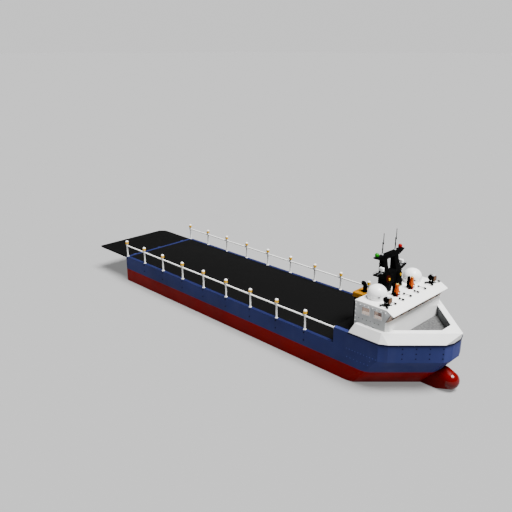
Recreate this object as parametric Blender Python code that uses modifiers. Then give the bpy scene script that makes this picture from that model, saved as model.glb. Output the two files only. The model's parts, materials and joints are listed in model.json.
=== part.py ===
"""Car ferry: a flat-bottomed workboat with an open vehicle deck, a stern ramp and a bow wheelhouse.

Frame: +X forward (bow), +Y port, +Z up. The origin is amidships, on the centreline, under the flat bottom.
Everything is in metres.
"""

from math import cos, pi, radians, sin

import bmesh
import bpy
from mathutils import Matrix, Vector

# Driving dimensions of the hull
HALF_BEAM = 3.62
TRANSOM_X = -12.60
STEP_X = 10.07
DECK_Z = 2.20
KNUCKLE_Z = 2.14
FORECASTLE_Z = 3.25
GAP = 0.0003

# Running clearance of a pin of this many sides in a hole of as many sides
PIN_SIDES = 32
RUNNING = 0.0003

# Half outlines of the bow, from the shoulder to the stem, as (x, y)
BOW_TOP = [(13.35, HALF_BEAM), (13.85, 3.34), (16.20, 0.99), (16.40, 0.42)]
BOW_BOTTOM = [(11.19, HALF_BEAM), (11.64, 3.50), (14.56, 0.58), (14.72, 0.25)]

# Propeller tunnels, shafts and rudders
TUNNEL_Y = 1.75
TUNNEL_HALF_WIDTH = 0.78
TUNNEL_ROOF_Z = 1.38
TUNNEL_FORWARD_X = -8.20
TUNNEL_ROOF_END_X = -10.20
SHAFT_Z = 0.66
SHAFT_R = 0.05
PROPELLER_X = -11.00
PROPELLER_R = 0.52
STRUT_X = -10.45
RUDDER_X = -12.02
RUDDER_LOW_Z = 0.14
RUDDER_HIGH_Z = 1.20
STOCK_R = 0.05

# Bulb under the stem
BULB_R = 0.56
BULB_NOSE_X = 16.24
BULB_Z = 0.58

# Decks
PLATE = 0.05
RIM_WIDTH = 0.25
UPPER_DECK_Z = FORECASTLE_Z + PLATE

# Bulwark round the forecastle
BULWARK_AFT_X = 11.15
BULWARK_RAKE = 0.28
BULWARK_TOP_Z = 3.88
BULWARK_TOP = [(13.33, 3.36), (16.69, 0.0)]
BULWARK_INNER_Y = 3.10
BULWARK_INNER_SUM = 16.14
BULWARK_INNER_X = 15.63

# Rails with lamp posts
POST_COUNT = 9
POST_SPACING = 2.52
FIRST_POST_X = -12.50
POST_Y = 3.50
POST_R = 0.055
RAIL_Z = DECK_Z + 0.96
RAIL_R = 0.05
LAMP_Z = DECK_Z + 1.25

# Wheelhouse
HOUSE_HALF_WIDTH = BULWARK_INNER_Y - GAP
HOUSE_AFT_X = 11.20
WALL = 0.08
ROOF_Z = 5.27
ROOF_THICKNESS = 0.10
ROOF_FRONT_X = 13.40
BROW_TIP_X = 13.90
BROW_TIP_Z = 5.00
SILL_X = 13.45
SILL_Z = 4.51
FRONT_TOP_Z = 4.48
FRONT_BASE_X = 13.68
RETURN_X = 13.02
CORNER_LEAN = 0.29
WINDOW_SPANS = [(11.70, 12.28), (12.56, 13.13)]
WINDOW_LOW_Z = 4.51
WINDOW_HIGH_Z = 5.00
MULLION_SPACING = 0.83
DOOR_LOW_Y = 1.12
DOOR_WIDTH = 0.72
DOOR_LOW_Z = 3.40
DOOR_HIGH_Z = 5.06
DOOR_KNUCKLE_R = 0.012
CONSOLE_HALF_WIDTH = 2.60
SEAT_X = 12.56
SEAT_Y = -2.05

# Engine casing behind the wheelhouse
CASING_HALF_WIDTH = 0.58
CASING_AFT_X = 9.17
CASING_HOOD_Z = 4.12
CASING_TOP_Z = 4.45
EXHAUST_X = 9.77
EXHAUST_R = 0.15

# Gear on the roof
MAST_AFT_X = 11.22
MAST_LEG_INNER_Y = 0.38
MAST_LEG_OUTER_Y = 0.85
MAST_BEAM_TOP_Z = 7.54
MAST_BEAM_HALF = 1.47
MAST_BEAM_X = 11.30
SIDELIGHT_Y = 1.27
SIDELIGHT_R = 0.125
WHIP_Y = 0.70
WHIP_TOP_Z = 8.94
RADAR_X = 11.58
RADAR_Y = 1.08
RADAR_BRACKET_Z = 6.50
RADAR_BOX = (0.28, 0.16, 0.22)
RADAR_RISE = 0.16
AMBER_Y = 0.63
AMBER_SHELF_Z = 5.97
RADOME_X = 11.95
RADOME_Y = 1.96
RADOME_R = 0.60
SEARCHLIGHT_X = 13.02
SEARCHLIGHT_Y = 2.52
SEARCHLIGHT_Z = 5.62
SEARCHLIGHT_ARM_Y = 0.240
MONITOR_X = 12.60
MONITOR_Y = 0.83
MONITOR_PIVOT_Z = 5.47
MONITOR_CHEEK_Y = 0.185

# Stern ramp
RAMP_HALF_WIDTH = 3.50
RAMP_END_X = -16.80
RAMP_PIVOT_X = -12.72
RAMP_TOP_Z = 2.16
RAMP_THICKNESS = 0.14
RAMP_CORNER = 0.44
RAMP_LUG_YS = (-2.6, 0.0, 2.6)
RAMP_LUG_HALF = 0.16
RAMP_PIN_R = 0.03

# Colours as linear RGB, with roughness and metallic
PAINTS = {
    "hull_blue": ((0.014, 0.030, 0.110), 0.35, 0.0),
    "bottom_red": ((0.150, 0.004, 0.004), 0.40, 0.0),
    "deck_black": ((0.011, 0.011, 0.009), 0.85, 0.0),
    "deck_grey": ((0.440, 0.440, 0.440), 0.85, 0.0),
    "white_paint": ((0.850, 0.850, 0.850), 0.40, 0.0),
    "black_paint": ((0.004, 0.004, 0.004), 0.45, 0.0),
    "orange_paint": ((0.900, 0.270, 0.002), 0.45, 0.0),
    "glass": ((0.300, 0.190, 0.110), 0.08, 0.0),
    "bronze": ((0.550, 0.330, 0.130), 0.35, 1.0),
    "steel": ((0.350, 0.350, 0.360), 0.40, 1.0),
    "red_seat": ((0.200, 0.010, 0.012), 0.60, 0.0),
    "console_grey": ((0.090, 0.095, 0.100), 0.55, 0.0),
    "green_lens": ((0.020, 0.600, 0.030), 0.20, 0.0),
    "red_lens": ((0.750, 0.004, 0.004), 0.20, 0.0),
    "amber_lens": ((1.000, 0.450, 0.010), 0.20, 0.0),
}


def start_scene():
    for old in list(bpy.data.objects):
        bpy.data.objects.remove(old)
    made = []
    for name in ("car_ferry", "cutters"):
        made.append(bpy.data.collections.new(name))
        bpy.context.scene.collection.children.link(made[-1])
    return made


PARTS, CUTTERS = start_scene()


def paint(name):
    """The Principled material of one of the paints above."""
    found = bpy.data.materials.get(name)
    if found:
        return found
    colour, roughness, metallic = PAINTS[name]
    made = bpy.data.materials.new(name)
    made.use_nodes = True
    shader = made.node_tree.nodes["Principled BSDF"]
    shader.inputs["Base Color"].default_value = (*colour, 1.0)
    shader.inputs["Roughness"].default_value = roughness
    shader.inputs["Metallic"].default_value = metallic
    made.diffuse_color = (*colour, 1.0)
    return made


def place(obj):
    """Moves a new object into the collection of helpers, where it waits to be used."""
    for home in list(obj.users_collection):
        home.objects.unlink(obj)
    CUTTERS.objects.link(obj)
    obj.hide_render = True
    obj.display_type = "WIRE"
    return obj


def part(name, obj, finish, pivot=None):
    """Makes a shape one of the ferry's pieces, with its origin on its joint's axis if it moves."""
    CUTTERS.objects.unlink(obj)
    PARTS.objects.link(obj)
    obj.hide_render = False
    obj.display_type = "TEXTURED"
    obj.name = name
    obj.data.name = name
    obj.data.materials.clear()
    obj.data.materials.append(paint(finish))
    if pivot is not None:
        shift = Vector(pivot) - obj.location
        obj.data.transform(Matrix.Translation(-shift))
        obj.location = Vector(pivot)
    return obj


def mesh_object(name, work):
    mesh = bpy.data.meshes.new(name)
    work.to_mesh(mesh)
    work.free()
    obj = bpy.data.objects.new(name, mesh)
    bpy.context.scene.collection.objects.link(obj)
    return place(obj)


def as_mesh(curve):
    """The curve as a mesh object with its caps welded on."""
    bpy.context.view_layer.update()
    evaluated = curve.evaluated_get(bpy.context.evaluated_depsgraph_get())
    mesh = bpy.data.meshes.new_from_object(evaluated)
    mesh.transform(curve.matrix_world)
    work = bmesh.new()
    work.from_mesh(mesh)
    bmesh.ops.remove_doubles(work, verts=work.verts, dist=1e-5)
    bmesh.ops.recalc_face_normals(work, faces=work.faces)
    bpy.data.objects.remove(curve)
    bpy.data.meshes.remove(mesh)
    return mesh_object("shape", work)


def box(low, high):
    work = bmesh.new()
    bmesh.ops.create_cube(work, size=1.0)
    size = [h - l for l, h in zip(low, high)]
    middle = [(l + h) / 2 for l, h in zip(low, high)]
    bmesh.ops.scale(work, vec=size, verts=work.verts)
    bmesh.ops.translate(work, vec=middle, verts=work.verts)
    return mesh_object("box", work)


def cylinder(start, end, radius, sides=16, end_radius=None):
    """A cylinder or a cone between two points."""
    start, end = Vector(start), Vector(end)
    run = end - start
    work = bmesh.new()
    bmesh.ops.create_cone(
        work,
        cap_ends=True,
        segments=sides,
        radius1=radius,
        radius2=radius if end_radius is None else end_radius,
        depth=run.length,
    )
    turn = Vector((0, 0, 1)).rotation_difference(run).to_matrix().to_4x4()
    bmesh.ops.transform(work, matrix=Matrix.Translation((start + end) / 2) @ turn, verts=work.verts)
    return mesh_object("cylinder", work)


def prism(outline, plane, low, high):
    """A flat outline in the plane "xy", "xz" or "yz", extruded along the third axis from low to high."""
    data = bpy.data.curves.new("outline", "CURVE")
    data.dimensions = "2D"
    data.fill_mode = "BOTH"
    data.extrude = (high - low) / 2
    spline = data.splines.new("POLY")
    spline.points.add(len(outline) - 1)
    for point, (first, second) in zip(spline.points, outline):
        point.co = (first, second, 0, 1)
    spline.use_cyclic_u = True
    curve = bpy.data.objects.new("outline", data)
    bpy.context.scene.collection.objects.link(curve)
    turns = {
        "xy": Matrix.Identity(4),
        "xz": Matrix(((1, 0, 0, 0), (0, 0, -1, 0), (0, 1, 0, 0), (0, 0, 0, 1))),
        "yz": Matrix(((0, 0, 1, 0), (1, 0, 0, 0), (0, 1, 0, 0), (0, 0, 0, 1))),
    }
    along = {"xy": (0, 0, 1), "xz": (0, 1, 0), "yz": (1, 0, 0)}[plane]
    curve.matrix_world = Matrix.Translation(Vector(along) * (low + high) / 2) @ turns[plane]
    return as_mesh(curve)


def tube(points, radius, smooth=2):
    """A round bar through the points."""
    data = bpy.data.curves.new("bar", "CURVE")
    data.dimensions = "3D"
    data.bevel_depth = radius
    data.bevel_resolution = smooth
    data.use_fill_caps = True
    spline = data.splines.new("POLY")
    spline.points.add(len(points) - 1)
    for point, place_at in zip(spline.points, points):
        point.co = (*place_at, 1)
    curve = bpy.data.objects.new("bar", data)
    bpy.context.scene.collection.objects.link(curve)
    return as_mesh(curve)


def turned(profile, centre, steps=20):
    """A round shape about a vertical axis: its profile of (radius, height) runs down the outer side."""
    mesh = bpy.data.meshes.new("profile")
    points = [(radius, 0, height) for radius, height in profile]
    mesh.from_pydata(points, [(i, i + 1) for i in range(len(points) - 1)], [])
    obj = bpy.data.objects.new("profile", mesh)
    bpy.context.scene.collection.objects.link(obj)
    screw = obj.modifiers.new("turn", "SCREW")
    screw.steps = steps
    screw.render_steps = steps
    screw.use_merge_vertices = True
    screw.merge_threshold = 0.0001
    bpy.context.view_layer.update()
    evaluated = obj.evaluated_get(bpy.context.evaluated_depsgraph_get())
    solid = bpy.data.meshes.new_from_object(evaluated)
    work = bmesh.new()
    work.from_mesh(solid)
    bmesh.ops.remove_doubles(work, verts=work.verts, dist=1e-5)
    bmesh.ops.translate(work, vec=centre, verts=work.verts)
    bpy.data.objects.remove(obj)
    bpy.data.meshes.remove(solid)
    return mesh_object("turned", work)


def hole(start, end, pin_radius):
    """The cutter of a hole in which a pin turns, with its corners clear of the hole's flats."""
    return cylinder(start, end, pin_radius / cos(pi / PIN_SIDES) + RUNNING, PIN_SIDES)


def faceted(points):
    """The solid with flat faces that the points span."""
    work = bmesh.new()
    for point in points:
        work.verts.new(point)
    found = bmesh.ops.convex_hull(work, input=work.verts)
    loose = {e for e in found["geom_interior"] if isinstance(e, bmesh.types.BMVert)}
    bmesh.ops.delete(work, geom=list(loose), context="VERTS")
    bmesh.ops.dissolve_limit(work, angle_limit=0.001, verts=work.verts, edges=work.edges)
    bmesh.ops.recalc_face_normals(work, faces=work.faces)
    return mesh_object("faceted", work)


def combine(obj, other, operation):
    """Cuts or joins another shape into this one and removes the other."""
    modifier = obj.modifiers.new("combine", "BOOLEAN")
    modifier.operation = operation
    modifier.solver = "EXACT"
    modifier.object = other
    bpy.context.view_layer.update()
    evaluated = obj.evaluated_get(bpy.context.evaluated_depsgraph_get())
    result = bpy.data.meshes.new_from_object(evaluated)
    obj.modifiers.clear()
    old = obj.data
    obj.data = result
    bpy.data.meshes.remove(old)
    bpy.data.objects.remove(other)
    return obj


def join(obj, *others):
    for other in others:
        combine(obj, other, "UNION")
    return obj


def cut(obj, *others):
    for other in others:
        combine(obj, other, "DIFFERENCE")
    return obj


def both_sides(outline):
    """A half outline of (x, y) and its mirror image, as one ring."""
    return [(x, -y) for x, y in outline] + [(x, y) for x, y in reversed(outline) if y > 0]


def ring(outline, height):
    return [(x, y, height) for x, y in both_sides(outline)]


def hull():
    stern = (TRANSOM_X, HALF_BEAM)
    lower = faceted(ring([stern] + BOW_BOTTOM, 0) + ring([stern] + BOW_TOP, KNUCKLE_Z))
    upper = prism(both_sides([stern] + BOW_TOP), "xy", KNUCKLE_Z - 0.02, DECK_Z)
    forecastle = prism(both_sides([(STEP_X, HALF_BEAM)] + BOW_TOP), "xy", DECK_Z - 0.02, FORECASTLE_Z)
    body = join(lower, upper, forecastle)
    inner_y = HALF_BEAM - RIM_WIDTH
    cut(body, box((TRANSOM_X + RIM_WIDTH, -inner_y, DECK_Z - PLATE), (STEP_X, inner_y, DECK_Z + 1)))
    for side in (-1, 1):
        middle = side * TUNNEL_Y
        profile = [
            (TRANSOM_X - 0.1, -0.1),
            (TUNNEL_FORWARD_X + 0.15, -0.1),
            (TUNNEL_ROOF_END_X, TUNNEL_ROOF_Z),
            (TRANSOM_X - 0.1, TUNNEL_ROOF_Z),
        ]
        cut(body, prism(profile, "xz", middle - TUNNEL_HALF_WIDTH, middle + TUNNEL_HALF_WIDTH))
        strut = prism(
            [(STRUT_X - 0.14, TUNNEL_ROOF_Z + 0.1), (STRUT_X + 0.14, TUNNEL_ROOF_Z + 0.1),
             (STRUT_X + 0.10, SHAFT_Z), (STRUT_X - 0.10, SHAFT_Z)],
            "xz", middle - 0.03, middle + 0.03,
        )
        barrel = cylinder((STRUT_X - 0.18, middle, SHAFT_Z), (STRUT_X + 0.18, middle, SHAFT_Z), 0.11)
        join(body, strut, barrel)
        bore = hole((STRUT_X - 0.5, middle, SHAFT_Z), (-8.90, middle, SHAFT_Z), SHAFT_R)
        stock_hole = hole(
            (RUDDER_X, middle, TUNNEL_ROOF_Z - 0.1), (RUDDER_X, middle, TUNNEL_ROOF_Z + 0.14), STOCK_R
        )
        cut(body, bore, stock_hole)
    for y in RAMP_LUG_YS:
        lug = box(
            (RAMP_PIVOT_X - 0.07, y - RAMP_LUG_HALF, RAMP_TOP_Z - RAMP_THICKNESS - 0.02),
            (TRANSOM_X + 0.02, y + RAMP_LUG_HALF, RAMP_TOP_Z - 0.005),
        )
        join(body, lug)
        pin_z = RAMP_TOP_Z - RAMP_THICKNESS / 2
        ends = (y - RAMP_LUG_HALF - 0.01, y + RAMP_LUG_HALF + 0.01)
        cut(body, hole((RAMP_PIVOT_X, ends[0], pin_z), (RAMP_PIVOT_X, ends[1], pin_z), RAMP_PIN_R))
    return part("hull", body, "hull_blue")


def bulb():
    """The bulb: a round nose that fairs back into a flat-sided foot under the stem."""
    nose = []
    rows, columns = 8, 16
    for row in range(rows + 1):
        polar = pi * row / rows
        for column in range(columns):
            angle = 2 * pi * column / columns
            nose.append((
                BULB_NOSE_X + BULB_R * cos(polar),
                BULB_R * sin(polar) * cos(angle),
                BULB_Z + BULB_R * sin(polar) * sin(angle),
            ))
    low = BULB_Z - BULB_R
    foot = [(x, side * 0.58, low) for x in (14.0, 15.65) for side in (-1, 1)]
    shoulder = [(14.3, side * 0.50, 1.12) for side in (-1, 1)] + [(15.66, side * 0.46, 1.12) for side in (-1, 1)]
    crest = [(x, side * 0.16, 1.34) for x in (15.0, 15.92) for side in (-1, 1)]
    shape = faceted(nose + foot + shoulder + crest)
    stern = (TRANSOM_X, HALF_BEAM)
    stem = faceted(ring([stern] + BOW_BOTTOM, -0.0) + ring([stern] + BOW_TOP, KNUCKLE_Z))
    stem.location.x = 2 * GAP
    cut(shape, stem)
    return part("bulbous_bow", shape, "bottom_red")


def decks():
    inner_y = HALF_BEAM - RIM_WIDTH - GAP
    plate = box(
        (TRANSOM_X + RIM_WIDTH + GAP, -inner_y, DECK_Z - PLATE + GAP), (STEP_X - GAP, inner_y, DECK_Z)
    )
    part("car_deck", plate, "deck_black")
    low = FORECASTLE_Z + GAP
    landing = box((STEP_X + 0.02, -3.30, low), (HOUSE_AFT_X - 0.03, 3.30, UPPER_DECK_Z))
    cut(landing, box((BULWARK_AFT_X - 0.02, -4, low - 1), (12, -3.08, low + 1)),
        box((BULWARK_AFT_X - 0.02, 3.08, low - 1), (12, 4, low + 1)))
    part("landing_deck", landing, "deck_black")
    edge = BULWARK_INNER_SUM - 2 * GAP
    half = BULWARK_INNER_Y - GAP
    front = BULWARK_INNER_X - GAP
    outline = [(HOUSE_AFT_X - 0.03 + GAP, half), (edge - half, half), (front, edge - front)]
    part("foredeck", prism(both_sides(outline), "xy", low, UPPER_DECK_Z), "deck_grey")


def bulwark():
    """The white bulwark leans inboard, and its corners run out to points along the top."""
    low, high = FORECASTLE_Z + GAP, BULWARK_TOP_Z
    foot = [(BULWARK_AFT_X, HALF_BEAM - 0.02)] + [(x, y - 0.012) for x, y in BOW_TOP]
    top = [(BULWARK_AFT_X + BULWARK_RAKE, BULWARK_TOP[0][1])] + BULWARK_TOP
    shape = faceted(ring(foot, low) + ring(top, high))
    front = BULWARK_INNER_X
    inner = [
        (BULWARK_AFT_X - 1, BULWARK_INNER_Y),
        (BULWARK_INNER_SUM - BULWARK_INNER_Y, BULWARK_INNER_Y),
        (front, BULWARK_INNER_SUM - front),
    ]
    cut(shape, prism(both_sides(inner), "xy", low - 1, high + 1))
    return part("bulwark", shape, "white_paint")


def rail(name, side):
    """One side's rail: lamp posts on the rim, with a rail between them that ends at the forecastle."""
    y = side * POST_Y
    first = (FIRST_POST_X, y, RAIL_Z)
    last = (STEP_X - 0.02, y, RAIL_Z)
    shape = tube([first, last], RAIL_R)
    for index in range(POST_COUNT):
        foot = (FIRST_POST_X + index * POST_SPACING, y, 0)
        profile = [
            (0, LAMP_Z + 0.15), (0.075, LAMP_Z + 0.12), (0.125, LAMP_Z + 0.04), (0.125, LAMP_Z - 0.07),
            (POST_R, LAMP_Z - 0.14), (POST_R, DECK_Z + GAP), (0, DECK_Z + GAP),
        ]
        join(shape, turned(profile, foot, steps=8))
    return part(name, shape, "white_paint")


def house_sides():
    """The side walls, with two windows each, and their panes."""
    top = ROOF_Z - ROOF_THICKNESS - GAP
    brow_x = ROOF_FRONT_X + CORNER_LEAN
    outline = [
        (HOUSE_AFT_X, UPPER_DECK_Z + GAP), (RETURN_X, UPPER_DECK_Z + GAP),
        (RETURN_X, FRONT_TOP_Z + GAP), (13.37, FRONT_TOP_Z + GAP),
        (brow_x, brow_under(brow_x) - 2 * GAP), (ROOF_FRONT_X, top), (HOUSE_AFT_X, top),
    ]
    for name, side in (("starboard", -1), ("port", 1)):
        ys = sorted((side * HOUSE_HALF_WIDTH, side * (HOUSE_HALF_WIDTH - WALL)))
        wall = prism(outline, "xz", *ys)
        for number, (low_x, high_x) in enumerate(WINDOW_SPANS, 1):
            cut(wall, box((low_x, ys[0] - 1, WINDOW_LOW_Z), (high_x, ys[1] + 1, WINDOW_HIGH_Z)))
            middle = sum(ys) / 2
            pane = box(
                (low_x + GAP, middle - 0.01, WINDOW_LOW_Z + GAP), (high_x - GAP, middle + 0.01, WINDOW_HIGH_Z - GAP)
            )
            part(f"window_{name}_{number}", pane, "glass")
        part(f"wheelhouse_side_{name}", wall, "white_paint")


def brow_under(x):
    """Height of the brow's underside."""
    slope = (ROOF_Z - BROW_TIP_Z) / (BROW_TIP_X - ROOF_FRONT_X)
    return ROOF_Z - ROOF_THICKNESS - slope * (x - ROOF_FRONT_X)


def house_front():
    """The low front wall with its returns; its foot stands inside the bulwark and its corners over it."""
    low, cap, top = UPPER_DECK_Z + GAP, BULWARK_TOP_Z + GAP, FRONT_TOP_Z
    lean = (FRONT_BASE_X - SILL_X) / (SILL_Z - UPPER_DECK_Z)

    def face_x(z):
        return FRONT_BASE_X - lean * (z - UPPER_DECK_Z)

    def well(z, inset):
        edge = BULWARK_INNER_SUM - 3 * GAP - inset * 1.414
        half = HOUSE_HALF_WIDTH - inset
        x = face_x(z) - inset
        return ring([(12.0, half), (edge - half, half), (x, edge - x)], z)

    def corner(z, inset, chamfer):
        half = HOUSE_HALF_WIDTH - inset
        x = face_x(z) - inset
        return ring([(12.0, half), (13.37 - inset, half), (x, half - chamfer)], z)

    outer = join(
        faceted(well(low, 0) + well(cap + 0.02, 0)), faceted(corner(cap, 0, 0.30) + corner(top, 0, 0.12))
    )
    ledge = cap + WALL
    cut(
        outer,
        box((11.0, -4, 3.0), (RETURN_X + GAP, 4, 6.0)),
        faceted(well(low - 0.2, WALL + 0.01) + well(ledge + 0.05, WALL + 0.01)),
        faceted(corner(ledge, WALL, 0.27) + corner(top + 0.2, WALL, 0.09)),
    )
    return part("wheelhouse_front", outer, "white_paint")


def house_aft():
    """The aft wall, with a doorway to port, and its door."""
    low, high = UPPER_DECK_Z + GAP, ROOF_Z - ROOF_THICKNESS - GAP
    half = HOUSE_HALF_WIDTH - WALL - GAP
    wall = box((HOUSE_AFT_X, -half, low), (HOUSE_AFT_X + WALL, half, high))
    door_high_y = DOOR_LOW_Y + DOOR_WIDTH
    cut(wall, box((HOUSE_AFT_X - 1, DOOR_LOW_Y, DOOR_LOW_Z), (HOUSE_AFT_X + 1, door_high_y, DOOR_HIGH_Z)))
    part("wheelhouse_aft", wall, "white_paint")
    clear = 0.006
    leaf = box(
        (HOUSE_AFT_X - 0.02, DOOR_LOW_Y + clear, DOOR_LOW_Z + clear),
        (HOUSE_AFT_X + 0.03, door_high_y - clear, DOOR_HIGH_Z - clear),
    )
    hinge = (HOUSE_AFT_X - DOOR_KNUCKLE_R - 0.0005, door_high_y + 0.012)
    for z in (DOOR_LOW_Z + 0.25, DOOR_HIGH_Z - 0.25):
        strap = box((hinge[0] - 0.012, hinge[1] - 0.12, z - 0.04), (hinge[0], hinge[1] - 0.002, z + 0.04))
        knuckle = cylinder((*hinge, z - 0.05), (*hinge, z + 0.05), DOOR_KNUCKLE_R, 12)
        join(leaf, strap, knuckle)
    handle = tube(
        [(HOUSE_AFT_X - 0.01, DOOR_LOW_Y + 0.1, 4.2), (HOUSE_AFT_X - 0.07, DOOR_LOW_Y + 0.1, 4.2),
         (HOUSE_AFT_X - 0.07, DOOR_LOW_Y + 0.24, 4.2)], 0.014, 1)
    join(leaf, handle)
    part("aft_door", leaf, "white_paint", (*hinge, (DOOR_LOW_Z + DOOR_HIGH_Z) / 2))


def house_top():
    """The roof and the sloping brow over the front windows."""
    half = HOUSE_HALF_WIDTH
    roof = box((HOUSE_AFT_X - 0.02, -half, ROOF_Z - ROOF_THICKNESS), (ROOF_FRONT_X, half, ROOF_Z))
    part("wheelhouse_roof", roof, "white_paint")
    tip_under = brow_under(BROW_TIP_X) + 0.04
    outline = [
        (ROOF_FRONT_X + GAP, ROOF_Z - ROOF_THICKNESS), (BROW_TIP_X, tip_under),
        (BROW_TIP_X, BROW_TIP_Z), (ROOF_FRONT_X + GAP, ROOF_Z),
    ]
    part("brow", prism(outline, "xz", -half, half), "white_paint")


def front_windows():
    """The frame of the reverse-raked front windows, with its mullions, and the glass behind it."""
    half = HOUSE_HALF_WIDTH - WALL - 2 * GAP
    sill = (13.43, FRONT_TOP_Z + GAP)
    head = (13.78, 4.93)
    lean = (head[0] - sill[0]) / (head[1] - sill[1])
    depth = 0.06

    def at(z, back):
        return sill[0] + lean * (z - sill[1]) - back

    def strip(low_z, high_z, back, thickness):
        return [(at(low_z, back), low_z), (at(low_z, back - thickness), low_z),
                (at(high_z, back - thickness), high_z), (at(high_z, back), high_z)]

    frame = prism(strip(sill[1], head[1], 0, depth), "xz", -half, half)
    edges = [-half + 0.03] + [step * MULLION_SPACING for step in range(-3, 4)] + [half - 0.03]
    bar = 0.035
    for left, right in zip(edges, edges[1:]):
        pane = prism(strip(sill[1] + 0.03, head[1] - 0.05, 0.2, 0.6), "xz", left + bar, right - bar)
        cut(frame, pane)
    part("window_frame", frame, "black_paint")
    glass = prism(strip(sill[1] + 0.02, head[1] - 0.02, 0.012 + GAP, 0.012), "xz", -half + 0.01, half - 0.01)
    part("front_glass", glass, "glass")


def casing():
    """The engine casing behind the wheelhouse, its orange hood and the exhaust."""
    half = CASING_HALF_WIDTH
    deck, landing = DECK_Z + GAP, UPPER_DECK_Z + GAP
    front = HOUSE_AFT_X - GAP
    outline = [
        (CASING_AFT_X + 0.1, deck), (STEP_X - GAP, deck), (STEP_X - GAP, landing),
        (front, landing), (front, CASING_HOOD_Z - GAP), (CASING_AFT_X + 0.1, CASING_HOOD_Z - GAP),
    ]
    part("engine_casing", prism(outline, "xz", -half + 0.08, half - 0.08), "black_paint")
    hood = box((CASING_AFT_X, -half, CASING_HOOD_Z), (front, half, CASING_TOP_Z))
    part("casing_hood", hood, "orange_paint")
    foot = CASING_TOP_Z + GAP
    bend = [(EXHAUST_X - 0.16 * (1 - cos(radians(a))), 0, 4.99 + 0.16 * sin(radians(a))) for a in (0, 25, 50, 72)]
    pipe = tube([(EXHAUST_X, 0, foot)] + bend, EXHAUST_R, 3)
    join(pipe, cylinder((EXHAUST_X, 0, foot), (EXHAUST_X, 0, foot + 0.06), 0.24, 16))
    part("exhaust_pipe", pipe, "black_paint")


def mast():
    """The mast: two deep legs raked at the front, a beam across their tops and a box between their feet."""
    foot = ROOF_Z + GAP
    aft = MAST_AFT_X
    leg = [(aft, foot), (11.93, foot), (11.88, 5.70), (11.75, 6.30), (11.56, 6.85), (11.47, 7.35), (aft, 7.35)]
    shape = prism(
        [(-MAST_BEAM_HALF, 7.46), (-0.95, 7.24), (0.95, 7.24), (MAST_BEAM_HALF, 7.46),
         (MAST_BEAM_HALF, MAST_BEAM_TOP_Z), (-MAST_BEAM_HALF, MAST_BEAM_TOP_Z)],
        "yz", aft - 0.04, aft + 0.29,
    )
    for side in (-1, 1):
        ys = sorted((side * MAST_LEG_INNER_Y, side * MAST_LEG_OUTER_Y))
        limb = prism(leg, "xz", *ys)
        bracket = prism(
            [(side * 0.80, 6.14), (side * 0.80, RADAR_BRACKET_Z), (side * 1.64, RADAR_BRACKET_Z), (side * 1.60, 6.42)],
            "yz", RADAR_X - 0.26, RADAR_X + 0.08,
        )
        shelf = box(
            (11.70, side * AMBER_Y - 0.06, AMBER_SHELF_Z - 0.03), (11.97, side * AMBER_Y + 0.06, AMBER_SHELF_Z)
        )
        join(shape, limb, bracket, shelf)
    inner = MAST_LEG_INNER_Y + 0.02
    join(shape, box((11.26, -inner, 5.62), (11.76, inner, 6.42)))
    return part("mast", shape, "black_paint")


def lights():
    foot = MAST_BEAM_TOP_Z + GAP
    for name, side, finish in (("green", -1, "green_lens"), ("red", 1, "red_lens")):
        centre = (MAST_BEAM_X, side * SIDELIGHT_Y, 0)
        r, top = SIDELIGHT_R, foot + 0.25
        profile = [(0, top), (0.65 * r, top - 0.025), (r, foot + 0.15), (r, foot + 0.08), (0.7 * r, foot), (0, foot)]
        part(f"sidelight_{name}", turned(profile, centre, 14), finish)
    for name, side in (("starboard", -1), ("port", 1)):
        foot_z = AMBER_SHELF_Z + GAP
        profile = [(0, foot_z + 0.17), (0.05, foot_z + 0.14), (0.055, foot_z), (0, foot_z)]
        part(f"amber_lamp_{name}", turned(profile, (11.90, side * AMBER_Y, 0), 12), "amber_lens")
        whip = [
            (0, WHIP_TOP_Z), (0.010, WHIP_TOP_Z), (0.014, 8.36), (0.030, 8.34), (0.030, 8.26), (0.018, 8.24),
            (0.022, 7.96), (0.034, 7.94), (0.034, 7.88), (0.024, 7.86), (0.030, 7.64), (0.055, 7.60),
            (0.055, foot), (0, foot),
        ]
        part(f"whip_antenna_{name}", turned(whip, (MAST_BEAM_X, side * WHIP_Y, 0), 8), "steel")


def radars():
    """The radar scanners, each turning on its bracket."""
    for name, side in (("starboard", -1), ("port", 1)):
        centre = (RADAR_X, side * RADAR_Y, 0)
        low = RADAR_BRACKET_Z + GAP
        box_low = low + RADAR_RISE
        profile = [(0, box_low + 0.02), (0.045, box_low + 0.02), (0.045, low + 0.03), (0.09, low), (0, low)]
        scanner = turned(profile, centre, 12)
        length, width, height = RADAR_BOX
        case = box((RADAR_X - length / 2, centre[1] - width / 2, box_low),
                   (RADAR_X + length / 2, centre[1] + width / 2, box_low + height))
        join(scanner, case)
        part(f"radar_scanner_{name}", scanner, "white_paint", (*centre[:2], low))


def radomes():
    foot = ROOF_Z + GAP
    for name, side in (("starboard", -1), ("port", 1)):
        rise = 0.57
        dome = [(RADOME_R * sin(radians(a)), foot + 0.33 + rise * cos(radians(a))) for a in range(0, 91, 15)]
        profile = dome + [(RADOME_R, foot + 0.26), (RADOME_R - 0.02, foot + 0.24), (RADOME_R - 0.02, foot), (0, foot)]
        part(f"radome_{name}", turned(profile, (RADOME_X, side * RADOME_Y, 0), 20), "white_paint")


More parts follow.
